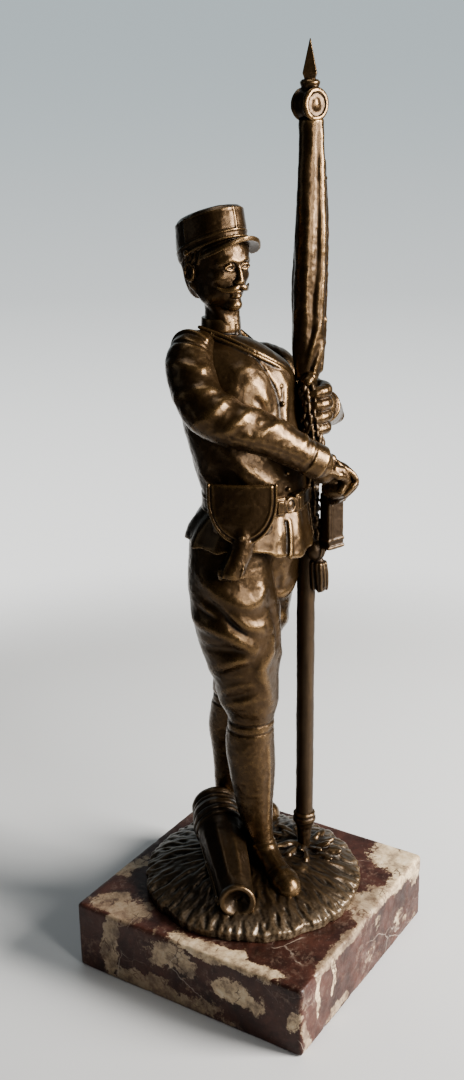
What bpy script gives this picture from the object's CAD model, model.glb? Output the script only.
import math
from concurrent.futures import ThreadPoolExecutor
from functools import partial

import bpy
import numpy as np
import openvdb
from mathutils import Matrix, Vector


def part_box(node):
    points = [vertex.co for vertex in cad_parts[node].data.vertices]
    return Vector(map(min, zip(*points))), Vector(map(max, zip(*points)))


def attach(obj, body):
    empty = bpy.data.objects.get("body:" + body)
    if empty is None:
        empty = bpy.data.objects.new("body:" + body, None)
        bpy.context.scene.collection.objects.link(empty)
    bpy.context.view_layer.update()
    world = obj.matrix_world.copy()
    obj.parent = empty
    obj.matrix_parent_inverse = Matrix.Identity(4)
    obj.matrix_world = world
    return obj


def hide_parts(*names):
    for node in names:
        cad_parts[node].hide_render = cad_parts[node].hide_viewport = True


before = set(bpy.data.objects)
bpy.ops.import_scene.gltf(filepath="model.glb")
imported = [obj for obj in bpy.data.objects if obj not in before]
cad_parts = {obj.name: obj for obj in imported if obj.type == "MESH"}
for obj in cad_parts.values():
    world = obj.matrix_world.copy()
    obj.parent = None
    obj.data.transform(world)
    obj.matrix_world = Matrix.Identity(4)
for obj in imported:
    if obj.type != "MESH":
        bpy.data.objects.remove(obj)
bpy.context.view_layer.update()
print("frame loaded")

# The figure's own axes: side to the soldier's left, front, and height above the marble, in millimetres.
figureFrame = {
    "turn": -15.4,  # degrees about the upright
    "originX": 0.5,
    "originY": 1.0,
}
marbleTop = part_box("marble_plinth")[1].z * 1000
turn = math.radians(figureFrame["turn"])
leftAxis = np.array([math.cos(turn), math.sin(turn), 0])
frontAxis = np.array([math.sin(turn), -math.cos(turn), 0])


def toRow(points):
    # figure millimetres to row metres
    points = np.asarray(points, float)
    out = points[:, :1] * leftAxis + points[:, 1:2] * frontAxis
    out[:, 0] += figureFrame["originX"]
    out[:, 1] += figureFrame["originY"]
    out[:, 2] = points[:, 2] + marbleTop
    return out * 0.001


# Clay: a block of distances on a grid, shaped with the functions below it.
class Clay:
    def __init__(self, low, high, step):
        self.low = np.array(low, np.float32)
        self.step = step
        count = np.ceil((np.array(high) - self.low) / step).astype(int) + 1
        axes = [self.low[k] + step * np.arange(count[k], dtype=np.float32) for k in range(3)]
        self.grid = (axes[0][:, None, None], axes[1][None, :, None], axes[2][None, None, :])
        self.field = np.full(count, 9, np.float32)

    def add(self, shape, soft=0.0):
        self.field = merge(self.field, shape(self.grid), soft)

    def carve(self, shape, soft=0.0):
        self.field = -merge(-self.field, shape(self.grid), soft)

    def keep(self, shape, soft=0.0):
        self.field = -merge(-self.field, -shape(self.grid), soft)

    def detail(self, *pushes, reach=2.6):
        # pushes act only on the points near the surface
        near = np.nonzero(np.abs(self.field) < reach)
        spot = tuple(self.grid[k].reshape(-1)[near[k]] for k in range(3))
        lift = np.zeros(len(near[0]), np.float32)
        for push in pushes:
            lift += push(spot)
        self.field[near] -= lift

    def bake(self):
        box = openvdb.FloatGrid(3 * self.step)
        box.copyFromArray(np.clip(self.field, -3 * self.step, 3 * self.step))
        points, faces = box.convertToQuads()
        points = points * self.step + self.low
        return dropCrumbs(points, faces[:, ::-1].astype(np.int64))


def dropCrumbs(points, faces):
    # keep the connected pieces that have at least a fiftieth of the faces
    label = np.arange(len(points))
    while True:
        low = label[faces].min(1)
        new = label.copy()
        np.minimum.at(new, faces.ravel(), np.repeat(low, faces.shape[1]))
        new = new[new]
        if (new == label).all():
            break
        label = new
    names, counts = np.unique(label[faces[:, 0]], return_counts=True)
    good = names[counts > 0.02 * len(faces)]
    faces = faces[np.isin(label[faces[:, 0]], good)]
    used, flat = np.unique(faces, return_inverse=True)
    return points[used], flat.reshape(faces.shape)


def merge(a, b, soft):
    if soft <= 0:
        return np.minimum(a, b)
    h = np.maximum(soft - np.abs(a - b), 0) / soft
    return np.minimum(a, b) - h * h * soft * 0.25


def curveThrough(points, count):
    # evenly spaced points on a smooth curve through the given ones
    p = np.array(points, float)
    if len(p) == 2:
        t = np.linspace(0, 1, count)[:, None]
        return p[0] * (1 - t) + p[1] * t
    ghost = np.vstack([2 * p[0] - p[1], p, 2 * p[-1] - p[-2]])
    out = []
    for k in range(len(p) - 1):
        a, b, c, d = ghost[k:k + 4]
        t = np.linspace(0, 1, 16, endpoint=False)[:, None]
        out.append(0.5 * (2 * b + (c - a) * t + (2 * a - 5 * b + 4 * c - d) * t ** 2
                          + (3 * b - a - 3 * c + d) * t ** 3))
    out = np.vstack(out + [p[-1:]])
    length = np.concatenate([[0], np.cumsum(np.linalg.norm(np.diff(out[:, :3], axis=0), axis=1))])
    want = np.linspace(0, length[-1], count)
    return np.column_stack([np.interp(want, length, out[:, k]) for k in range(out.shape[1])])


def segmentDistance(p, a, b):
    ab = b - a
    t = ((p[0] - a[0]) * ab[0] + (p[1] - a[1]) * ab[1] + (p[2] - a[2]) * ab[2]) / max(ab @ ab, 1e-9)
    t = np.clip(t, 0, 1)
    gap = ((p[0] - a[0] - t * ab[0]) ** 2 + (p[1] - a[1] - t * ab[1]) ** 2 + (p[2] - a[2] - t * ab[2]) ** 2)
    return np.sqrt(gap), t


def tube(path, count=14):
    # path rows: side, front, height, radius
    line = curveThrough(path, count).astype(np.float32)

    def shape(p):
        best = None
        for a, b in zip(line[:-1], line[1:]):
            gap, t = segmentDistance(p, a[:3], b[:3])
            gap = gap - (a[3] + t * (b[3] - a[3]))
            best = gap if best is None else np.minimum(best, gap)
        return best
    return shape


def egg(centre, radii, turnDegrees=0.0, tiltDegrees=0.0):
    # ellipsoid: radii to the side, front and up; turned about the upright, then tilted front up
    c, s = math.cos(math.radians(turnDegrees)), math.sin(math.radians(turnDegrees))
    ct, st = math.cos(math.radians(tiltDegrees)), math.sin(math.radians(tiltDegrees))

    def shape(p):
        x, y, z = p[0] - centre[0], p[1] - centre[1], p[2] - centre[2]
        x, y = c * x - s * y, s * x + c * y
        y, z = ct * y + st * z, -st * y + ct * z
        k0 = np.sqrt((x / radii[0]) ** 2 + (y / radii[1]) ** 2 + (z / radii[2]) ** 2)
        k1 = np.sqrt((x / radii[0] ** 2) ** 2 + (y / radii[1] ** 2) ** 2 + (z / radii[2] ** 2) ** 2)
        return k0 * (k0 - 1) / np.maximum(k1, 1e-6)
    return shape


def block(centre, half, turnDegrees=0.0, tiltDegrees=0.0, rollDegrees=0.0, edge=0.6):
    c, s = math.cos(math.radians(turnDegrees)), math.sin(math.radians(turnDegrees))
    ct, st = math.cos(math.radians(tiltDegrees)), math.sin(math.radians(tiltDegrees))
    cr, sr = math.cos(math.radians(rollDegrees)), math.sin(math.radians(rollDegrees))

    def shape(p):
        x, y, z = p[0] - centre[0], p[1] - centre[1], p[2] - centre[2]
        x, y = c * x - s * y, s * x + c * y
        y, z = ct * y + st * z, -st * y + ct * z
        x, z = cr * x + sr * z, -sr * x + cr * z
        q = [np.abs(v) - (h - edge) for v, h in zip((x, y, z), half)]
        outside = np.sqrt(sum(np.maximum(v, 0) ** 2 for v in q))
        return outside + np.minimum(np.maximum(np.maximum(q[0], q[1]), q[2]), 0) - edge
    return shape


def stack(rows, rounding=1.5):
    # rows: side, front, height, width, depth of level outlines, smooth in between
    line = curveThrough(rows, 120).astype(np.float32)
    order = np.argsort(line[:, 2])
    line = line[order]

    def shape(p):
        cx, cy, wide, deep = (np.interp(p[2], line[:, 2], line[:, k]).astype(np.float32) for k in (0, 1, 3, 4))
        x, y = p[0] - cx, p[1] - cy
        a, b = wide / 2, deep / 2
        k0 = np.sqrt((x / a) ** 2 + (y / b) ** 2)
        k1 = np.sqrt((x / a ** 2) ** 2 + (y / b ** 2) ** 2)
        side = k0 * (k0 - 1) / np.maximum(k1, 1e-6)
        ends = np.maximum(line[0, 2] - p[2], p[2] - line[-1, 2])
        return -merge(-side, -ends, rounding)
    return shape


def surfacePath(rows, spots, lift=0.0):
    # spots: angle from the front towards the left, and height, on the outline of a stack
    line = np.array(rows, float)
    line = line[np.argsort(line[:, 2])]
    out = []
    for angle, height in spots:
        cx, cy, wide, deep = (np.interp(height, line[:, 2], line[:, k]) for k in (0, 1, 3, 4))
        s, c = math.sin(math.radians(angle)), math.cos(math.radians(angle))
        radius = 1 / math.sqrt((s / (wide / 2)) ** 2 + (c / (deep / 2)) ** 2) + lift
        out.append((cx + radius * s, cy + radius * c, height))
    return out


def ridge(path, radius, height, fade=True, count=None):
    # raised (or, with a negative height, sunk) line along a path of points
    line = curveThrough(path, count or max(4, 4 * len(path))).astype(np.float32)
    low, high = line.min(0) - 2.4 * radius, line.max(0) + 2.4 * radius

    def push(p):
        lift = np.zeros_like(p[0])
        inside = np.nonzero((p[0] > low[0]) & (p[0] < high[0]) & (p[1] > low[1]) & (p[1] < high[1])
                            & (p[2] > low[2]) & (p[2] < high[2]))[0]
        if not len(inside):
            return lift
        q = [v[inside] for v in p]
        best = np.full(len(inside), 1e9, np.float32)
        where = np.zeros(len(inside), np.float32)
        for k, (a, b) in enumerate(zip(line[:-1], line[1:])):
            gap, t = segmentDistance(q, a, b)
            closer = gap < best
            best = np.where(closer, gap, best)
            where = np.where(closer, (k + t) / (len(line) - 1), where)
        amount = height * np.exp(-(best / radius) ** 2.0)
        if fade:
            amount = amount * np.clip(np.sin(math.pi * np.clip(where, 0.02, 0.98)), 0, 1) ** 0.6
        lift[inside] = amount
        return lift
    return push


def noiseTable(seed):
    return np.random.default_rng(seed).random((24, 24, 24)).astype(np.float32) * 2 - 1


noiseTables = [noiseTable(seed) for seed in range(4)]


def noise(p, size, seed=0):
    table = noiseTables[seed % 4]
    total = 0
    cells = [v / size + 7.3 * seed for v in p]
    base = [np.floor(v).astype(np.int32) for v in cells]
    part = [v - b for v, b in zip(cells, base)]
    part = [f * f * (3 - 2 * f) for f in part]
    for i in (0, 1):
        for j in (0, 1):
            for k in (0, 1):
                weight = ((part[0] if i else 1 - part[0]) * (part[1] if j else 1 - part[1])
                          * (part[2] if k else 1 - part[2]))
                total = total + weight * table[(base[0] + i) % 24, (base[1] + j) % 24, (base[2] + k) % 24]
    return total


def roughness(amount, size, seed=0):
    # soft unevenness of a hand-finished casting
    return lambda p: amount * (noise(p, size, seed) + 0.5 * noise(p, size * 0.45, seed + 1))


def settle(points, origin, turnDegrees=0.0):
    # from a piece's own side, front and up to the figure's
    c, s = math.cos(math.radians(turnDegrees)), math.sin(math.radians(turnDegrees))
    x, y, z = np.asarray(points, float).T
    return np.column_stack([c * x + s * y + origin[0], -s * x + c * y + origin[1], z + origin[2]])


def clayAround(rows, margin, step):
    p = np.array(rows, float)
    half = p[:, [3, 3, 3]] if p.shape[1] == 4 else p[:, [3, 4, 4]] * (0.5, 0.5, 0)
    return Clay((p[:, :3] - half).min(0) - margin, (p[:, :3] + half).max(0) + margin, step)


def folds(rows, lines):
    # lines: spots on a stack's outline, radius, height
    return [ridge(surfacePath(rows, spots), radius, height) for spots, radius, height in lines]


def limbSpots(rows, spots):
    # spots on a tube: share of its length, degrees from its upper side towards the soldier's left or front
    line = curveThrough(rows, 60)
    out = []
    for share, around in spots:
        k = share * (len(line) - 1)
        here = np.array([np.interp(k, range(len(line)), line[:, i]) for i in range(line.shape[1])])
        ahead = line[min(int(k) + 2, len(line) - 1), :3] - line[max(int(k) - 2, 0), :3]
        ahead /= np.linalg.norm(ahead)
        upper = np.array([0, 0, 1.0]) - ahead[2] * ahead
        upper /= np.linalg.norm(upper)
        across = np.cross(ahead, upper)
        a = math.radians(around)
        out.append(here[:3] + here[3] * (math.cos(a) * upper + math.sin(a) * across))
    return out


def limbFolds(rows, lines):
    return [ridge(limbSpots(rows, spots), radius, height) for spots, radius, height in lines]


def lathe(start, end, rows):
    # rows: distance along the axis, radius
    a, b = np.array(start, float), np.array(end, float)
    axis = (b - a) / np.linalg.norm(b - a)
    rows = np.array(rows, float)

    def shape(p):
        q = [p[k] - a[k] for k in range(3)]
        along = q[0] * axis[0] + q[1] * axis[1] + q[2] * axis[2]
        off = np.sqrt(np.maximum(q[0] ** 2 + q[1] ** 2 + q[2] ** 2 - along ** 2, 0))
        radius = np.interp(along, rows[:, 0], rows[:, 1]).astype(np.float32)
        return np.maximum(off - radius, np.maximum(rows[0, 0] - along, along - rows[-1, 0]))
    return shape


def below(height):
    return lambda p: p[2] - height + 0 * (p[0] + p[1])


def above(height):
    return lambda p: height - p[2] + 0 * (p[0] + p[1])


# Camera
cameraSpot = {
    "place": (-0.44216, -0.27272, 0.38463),
    "heading": (0.8424, 0.5388),
    "downDegrees": 19.05,
    "rollDegrees": -0.74,
    "lens": 42.17,
}
ahead = Vector((*cameraSpot["heading"], 0)).normalized()
down = math.radians(cameraSpot["downDegrees"])
level = Vector((ahead.y, -ahead.x, 0))
look = ahead * math.cos(down) - Vector((0, 0, math.sin(down)))
lift = level.cross(look)
roll = math.radians(cameraSpot["rollDegrees"])
rightward = level * math.cos(roll) + lift * math.sin(roll)
upward = lift * math.cos(roll) - level * math.sin(roll)
cameraData = bpy.data.cameras.new("camera")
cameraData.lens = cameraSpot["lens"]
cameraData.sensor_width = 36
cameraData.clip_start = 0.01
camera = bpy.data.objects.new("camera", cameraData)
bpy.context.scene.collection.objects.link(camera)
facing = Matrix((rightward, upward, -look)).transposed().to_4x4()
camera.matrix_world = Matrix.Translation(cameraSpot["place"]) @ facing
bpy.context.scene.camera = camera
bpy.context.scene.view_settings.look = "AgX - Medium High Contrast"


# Materials: small helpers for node trees
class Tree:
    def __init__(self, tree):
        self.tree = tree

    def add(self, kind, **values):
        made = self.tree.nodes.new(kind)
        for name, value in values.items():
            if hasattr(made, name) and name not in made.inputs:
                setattr(made, name, value)
        return made

    def set(self, socket, value):
        if hasattr(value, "is_output"):
            self.tree.links.new(value, socket)
        else:
            socket.default_value = value

    def math(self, operation, a, b):
        made = self.add("ShaderNodeMath", operation=operation)
        self.set(made.inputs[0], a)
        self.set(made.inputs[1], b)
        return made.outputs[0]

    def mix(self, share, a, b):
        made = self.add("ShaderNodeMix", data_type="RGBA")
        self.set(made.inputs["Factor"], share)
        self.set(made.inputs[6], a)
        self.set(made.inputs[7], b)
        return made.outputs[2]

    def noise(self, where, scale, detail=3.0, rough=0.55):
        made = self.add("ShaderNodeTexNoise")
        self.set(made.inputs["Vector"], where)
        made.inputs["Scale"].default_value = scale
        made.inputs["Detail"].default_value = detail
        made.inputs["Roughness"].default_value = rough
        return made.outputs["Fac"]

    def cellEdges(self, where, scale):
        made = self.add("ShaderNodeTexVoronoi", feature="DISTANCE_TO_EDGE")
        self.set(made.inputs["Vector"], where)
        made.inputs["Scale"].default_value = scale
        return made.outputs["Distance"]

    def remap(self, value, low, high, to0=0.0, to1=1.0):
        made = self.add("ShaderNodeMapRange", interpolation_type="SMOOTHSTEP")
        for name, v in (("Value", value), ("From Min", low), ("From Max", high), ("To Min", to0),
                        ("To Max", to1)):
            self.set(made.inputs[name], v)
        return made.outputs["Result"]

    def ramp(self, value, stops):
        made = self.add("ShaderNodeValToRGB")
        band = made.color_ramp
        while len(band.elements) < len(stops):
            band.elements.new(0.5)
        for element, (place, colour) in zip(band.elements, stops):
            element.position = place
            element.color = (*colour, 1)
        self.set(made.inputs[0], value)
        return made.outputs[0]


def newGroup(name, inputs, outputs):
    tree = bpy.data.node_groups.new(name, "ShaderNodeTree")
    for label, kind, value in inputs:
        made = tree.interface.new_socket(name=label, in_out="INPUT", socket_type=kind)
        if value is not None:
            made.default_value = value
    for label, kind in outputs:
        tree.interface.new_socket(name=label, in_out="OUTPUT", socket_type=kind)
    t = Tree(tree)
    return t, t.add("NodeGroupInput").outputs, t.add("NodeGroupOutput").inputs


def useGroup(t, group, **links):
    made = t.add("ShaderNodeGroup")
    made.node_tree = group
    for name, value in links.items():
        t.set(made.inputs[name], value)
    return made.outputs


def newMaterial(name):
    material = bpy.data.materials.new(name)
    material.use_nodes = True
    t = Tree(material.node_tree)
    shader = next(n for n in t.tree.nodes if n.type == "BSDF_PRINCIPLED")
    where = t.add("ShaderNodeTexCoord").outputs["Object"]
    return material, t, shader, where


def bump(t, shader, height, depth):
    made = t.add("ShaderNodeBump")
    made.inputs["Distance"].default_value = depth
    t.set(made.inputs["Height"], height)
    t.tree.links.new(made.outputs["Normal"], shader.inputs["Normal"])


# Patina: brown in the hollows, warmer and brighter on the raised parts, clouded and speckled.
patina, feed, result = newGroup(
    "patina",
    [("Where", "NodeSocketVector", None), ("Relief", "NodeSocketFloat", 0.0),
     ("Hollow", "NodeSocketColor", (0.010, 0.006, 0.003, 1)),
     ("Brown", "NodeSocketColor", (0.070, 0.040, 0.016, 1)),
     ("Worn", "NodeSocketColor", (0.21, 0.130, 0.055, 1))],
    [("Color", "NodeSocketColor"), ("Roughness", "NodeSocketFloat"), ("Height", "NodeSocketFloat")])
clouds = patina.noise(feed["Where"], 90, 4, 0.6)
specks = patina.noise(feed["Where"], 1900, 2, 0.6)
grain = patina.noise(feed["Where"], 700, 3, 0.6)
relief = patina.math("ADD", feed["Relief"], patina.math("MULTIPLY", patina.math("SUBTRACT", clouds, 0.5), 0.35))
bright = patina.mix(patina.remap(relief, 0.0, 1.0), feed["Brown"], feed["Worn"])
shade = patina.mix(patina.remap(relief, -0.2, -1.0), bright, feed["Hollow"])
spotted = patina.mix(patina.remap(specks, 0.56, 0.74, 0, 0.30), shade, feed["Worn"])
darkSpots = patina.mix(patina.remap(grain, 0.36, 0.24, 0, 0.5), spotted, feed["Hollow"])
patina.set(result["Color"], darkSpots)
rough = patina.math("ADD", patina.remap(relief, -0.8, 0.7, 0.42, 0.26),
                    patina.math("MULTIPLY", patina.math("SUBTRACT", grain, 0.5), 0.22))
patina.set(result["Roughness"], rough)
patina.set(result["Height"], patina.math("ADD", patina.math("MULTIPLY", grain, 0.7),
                                         patina.math("MULTIPLY", specks, 0.3)))


def bronzeMaterial(name, hollow, brown, worn, extra=0.0, dust=0.0):
    material, t, shader, where = newMaterial(name)
    relief = t.add("ShaderNodeAttribute")
    relief.attribute_name = "relief"
    relief.attribute_type = "GEOMETRY"
    made = useGroup(t, patina.tree, Where=where, Relief=relief.outputs["Fac"], Hollow=hollow, Brown=brown,
                    Worn=worn)
    colour, metal = made["Color"], 0.8
    if dust:
        # beige dust settled on the lowest part of the casting
        height = t.add("ShaderNodeSeparateXYZ")
        t.set(height.inputs[0], where)
        cloud = t.math("MULTIPLY", t.noise(where, 120, 5, 0.65), t.noise(where, 900, 2, 0.5))
        lying = t.math("MULTIPLY", t.remap(height.outputs["Z"], 0.046, 0.035),
                       t.remap(cloud, 0.12, 0.34, 0.15, dust))
        colour = t.mix(lying, colour, (0.150, 0.115, 0.078, 1))
        metal = t.math("SUBTRACT", 0.8, t.math("MULTIPLY", lying, 0.7))
    t.set(shader.inputs["Base Color"], colour)
    t.set(shader.inputs["Roughness"], t.math("ADD", made["Roughness"], extra))
    t.set(shader.inputs["Metallic"], metal)
    shader.inputs["Coat Weight"].default_value = 0.2
    shader.inputs["Coat Roughness"].default_value = 0.32
    bump(t, shader, made["Height"], 0.00012)
    return material


bronze = bronzeMaterial("bronzeFigure", (0.0055, 0.003, 0.0013, 1), (0.048, 0.0262, 0.0092, 1),
                        (0.145, 0.088, 0.037, 1))
bronzeDark = bronzeMaterial("bronzeGround", (0.005, 0.0032, 0.0017, 1), (0.032, 0.0185, 0.0078, 1),
                            (0.092, 0.057, 0.027, 1), 0.08, dust=0.75)
bronzeStaff = bronzeMaterial("bronzeStaff", (0.005, 0.003, 0.0015, 1), (0.027, 0.0150, 0.0062, 1),
                             (0.070, 0.043, 0.019, 1), 0.16)

# Marble: oxblood ground, angular patches of cream and grey, a few white veins
marbleLook = {
    # middle, reach along each axis, share of cream
    "patches": (
        ((0.054, -0.054, 0.034), (0.015, 0.017, 0.010), 1.0),
                ((0.033, -0.060, 0.034), (0.022, 0.006, 0.006), 0.9),
        ((0.010, -0.058, 0.034), (0.016, 0.010, 0.004), 0.55),
                ((-0.022, -0.061, 0.034), (0.024, 0.005, 0.003), 0.5),
        ((-0.045, -0.061, 0.022), (0.0018, 0.004, 0.013), 0.95),
                ((-0.033, -0.061, 0.024), (0.0015, 0.004, 0.011), 0.95),
        ((-0.028, -0.061, 0.004), (0.010, 0.004, 0.004), 0.5),
        ((-0.061, 0.006, 0.024), (0.004, 0.013, 0.009), 0.6),
                ((-0.057, -0.018, 0.034), (0.006, 0.032, 0.0035), 0.8),
        ((-0.061, -0.027, 0.0195), (0.004, 0.013, 0.0065), 0.75),
                ((-0.061, 0.041, 0.018), (0.004, 0.006, 0.020), 0.5),
        ((-0.052, 0.040, 0.034), (0.010, 0.014, 0.003), 0.4),
                ((-0.061, 0.012, 0.005), (0.004, 0.034, 0.008), 0.4),
        ((-0.060, -0.056, 0.016), (0.004, 0.004, 0.005), 0.8),
                ((-0.056, -0.061, 0.006), (0.004, 0.004, 0.010), 0.5)),
}
marble, t, shader, where = newMaterial("marble")
warp = t.add("ShaderNodeTexNoise")
warp.inputs["Scale"].default_value = 62
warp.inputs["Detail"].default_value = 5
t.set(warp.inputs["Vector"], where)
shift = t.add("ShaderNodeVectorMath", operation="MULTIPLY_ADD")
t.set(shift.inputs[0], warp.outputs["Color"])
shift.inputs[1].default_value = (0.014, 0.014, 0.014)
t.set(shift.inputs[2], where)
bent = shift.outputs[0]
ground = t.ramp(t.noise(bent, 64, 8, 0.72), ((0.28, (0.008, 0.0045, 0.0037)), (0.44, (0.030, 0.0115, 0.008)),
                                            (0.60, (0.062, 0.0245, 0.017)), (0.78, (0.100, 0.053, 0.039))))
mottled = t.math("MULTIPLY", t.remap(t.noise(where, 340, 6, 0.7), 0.50, 0.60),
                 t.remap(t.noise(bent, 44, 4), 0.47, 0.60))
ground = t.mix(t.math("MULTIPLY", mottled, 0.45), ground, (0.165, 0.115, 0.085, 1))
cream = t.ramp(t.noise(where, 130, 8, 0.75), ((0.30, (0.115, 0.080, 0.055)), (0.43, (0.26, 0.195, 0.13)),
                                              (0.54, (0.50, 0.39, 0.255)),
                                             (0.72, (0.66, 0.57, 0.43))))
ragged = t.math("MULTIPLY", t.noise(where, 125, 8, 0.78), 2.3)
patch = t.math("MULTIPLY", t.remap(t.noise(bent, 26, 6, 0.65), 0.62, 0.66), 0.6)
for middle, reach, share in marbleLook["patches"]:
    away = t.add("ShaderNodeVectorMath", operation="SUBTRACT")
    t.set(away.inputs[0], bent)
    away.inputs[1].default_value = [v + 0.007 for v in middle]
    scaled = t.add("ShaderNodeVectorMath", operation="DIVIDE")
    t.set(scaled.inputs[0], away.outputs[0])
    scaled.inputs[1].default_value = reach
    size = t.add("ShaderNodeVectorMath", operation="LENGTH")
    t.set(size.inputs[0], scaled.outputs[0])
    near = t.remap(t.math("ADD", size.outputs["Value"], ragged), 2.22, 2.06, 0.0, share)
    patch = t.math("MAXIMUM", patch, near)
# dark crackle runs through the cream
crackle = t.remap(t.cellEdges(bent, 210), 0.07, 0.02)
crackle = t.math("MULTIPLY", crackle, t.remap(t.noise(where, 95, 3), 0.50, 0.62))
patch = t.math("MULTIPLY", patch, t.math("SUBTRACT", 1.0, t.math("MULTIPLY", crackle, 0.8)))
veins = t.remap(t.cellEdges(bent, 34), 0.014, 0.003)
veins = t.math("MULTIPLY", veins, t.remap(t.noise(where, 44, 3), 0.54, 0.66))
fine = t.remap(t.cellEdges(bent, 120), 0.035, 0.008)
fine = t.math("MULTIPLY", fine, t.remap(t.noise(where, 55, 3), 0.54, 0.68))
flecks = t.math("MULTIPLY", t.remap(t.noise(where, 900, 3, 0.6), 0.62, 0.74), 0.35)
colour = t.mix(patch, ground, cream)
colour = t.mix(t.math("MULTIPLY", veins, 0.3), colour, (0.52, 0.45, 0.37, 1))
colour = t.mix(t.math("MULTIPLY", fine, 0.25), colour, (0.32, 0.245, 0.20, 1))
colour = t.mix(flecks, colour, (0.24, 0.18, 0.145, 1))
t.set(shader.inputs["Base Color"], colour)
t.set(shader.inputs["Roughness"], t.remap(t.noise(where, 240, 4), 0.3, 0.75, 0.28, 0.50))
shader.inputs["Specular IOR Level"].default_value = 0.32
bump(t, shader, t.noise(where, 420, 5, 0.6), 0.00008)

steel, t, shader, where = newMaterial("steel")
t.set(shader.inputs["Base Color"], t.mix(t.noise(where, 300, 4), (0.30, 0.30, 0.31, 1), (0.52, 0.52, 0.53, 1)))
t.set(shader.inputs["Roughness"], t.remap(t.noise(where, 900, 3), 0.3, 0.7, 0.28, 0.45))
shader.inputs["Metallic"].default_value = 1.0
bump(t, shader, t.noise(where, 1500, 3), 0.00005)
print("materials made")

# Studio: pale floor, pale sky that darkens upwards, soft lights from the right, the front, above and the left
floorLook = {"radius": 0.56, "fadeFrom": 0.34, "near": (0.47, 0.468, 0.465), "far": (0.665, 0.667, 0.662)}
studio, t, shader, where = newMaterial("studioFloor")
dot = t.add("ShaderNodeVectorMath", operation="DOT_PRODUCT")
t.set(dot.inputs[0], where)
dot.inputs[1].default_value = (*cameraSpot["heading"], 0)
away = t.math("ADD", dot.outputs["Value"], t.math("MULTIPLY", t.noise(where, 9, 3), 0.05))
t.set(shader.inputs["Base Color"], t.mix(t.remap(away, -0.25, 0.30), (*floorLook["near"], 1),
                                         (*floorLook["far"], 1)))
shader.inputs["Roughness"].default_value = 0.55
# the floor thins out towards its edge, so it runs into the sky without a line
rim = t.add("ShaderNodeVectorMath", operation="LENGTH")
t.set(rim.inputs[0], where)
t.set(shader.inputs["Alpha"], t.remap(rim.outputs["Value"], floorLook["radius"] - 0.01, floorLook["fadeFrom"]))
bpy.ops.mesh.primitive_circle_add(vertices=180, radius=floorLook["radius"], fill_type="NGON")
floor = bpy.context.object
floor.name = "floor"
floor.data.materials.append(studio)

world = bpy.data.worlds.new("sky")
world.use_nodes = True
bpy.context.scene.world = world
t = Tree(world.node_tree)
background = next(n for n in t.tree.nodes if n.type == "BACKGROUND")
direction = t.add("ShaderNodeTexCoord").outputs["Generated"]
split = t.add("ShaderNodeSeparateXYZ")
t.set(split.inputs[0], direction)
sky = t.ramp(t.remap(split.outputs["Z"], -0.36, 0.08), ((0.0, (1.22, 1.22, 1.20)), (0.22, (1.00, 1.02, 1.01)),
                                                       (0.5, (0.70, 0.73, 0.735)), (1.0, (0.455, 0.52, 0.545))))
dot = t.add("ShaderNodeVectorMath", operation="DOT_PRODUCT")
t.set(dot.inputs[0], direction)
dot.inputs[1].default_value = (*cameraSpot["heading"], 0)
t.set(background.inputs["Color"], sky)
t.set(background.inputs["Strength"], t.remap(dot.outputs["Value"], 0.66, 0.90, 0.06, 1.0))


def softLight(name, place, towards, wide, tall, power, colour=(1, 1, 1)):
    data = bpy.data.lights.new(name, "AREA")
    data.shape = "RECTANGLE"
    data.size = wide
    data.size_y = tall
    data.energy = power
    data.color = colour
    made = bpy.data.objects.new(name, data)
    bpy.context.scene.collection.objects.link(made)
    made.location = place
    made.rotation_euler = (Vector(towards) - Vector(place)).to_track_quat("-Z", "Y").to_euler()
    return made


softLight("keyLight", (0.30, -1.0, 0.58), (0, 0, 0.16), 0.46, 0.74, 46, (1.0, 0.97, 0.93))
softLight("frontLight", (-0.36, -1.0, 0.36), (0, 0, 0.18), 0.22, 0.6, 6.5, (1.0, 0.98, 0.95))
softLight("topLight", (0.15, 0.1, 1.15), (0, 0, 0.2), 0.5, 0.5, 2.3, (0.95, 0.98, 1.0))
softLight("leftFill", (-0.75, 0.75, 0.5), (0, 0, 0.2), 0.5, 0.8, 0.55, (0.80, 0.90, 1.0))


# Meshes
reliefLook = {"fine": 0.00016, "broad": 0.0005, "most": 0.8}


def reliefOf(points, faces, normals):
    # raised above (+) or sunk below (-) the softened surface
    edges = np.vstack([faces[:, [k, (k + 1) % faces.shape[1]]] for k in range(faces.shape[1])])
    edges = np.vstack([edges, edges[:, ::-1]])
    count = len(points)
    degree = np.bincount(edges[:, 0], minlength=count).clip(1)
    soft = points.copy()
    marks = []
    for turnNumber in range(26):
        soft = np.column_stack([np.bincount(edges[:, 0], soft[edges[:, 1], k], count) / degree
                                for k in range(3)])
        if turnNumber in (5, 25):
            marks.append(((points - soft) * normals).sum(1))
    value = marks[0] / reliefLook["fine"] * 0.4 + marks[1] / reliefLook["broad"] * 0.6
    return np.clip(value, -1, reliefLook["most"])


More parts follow.
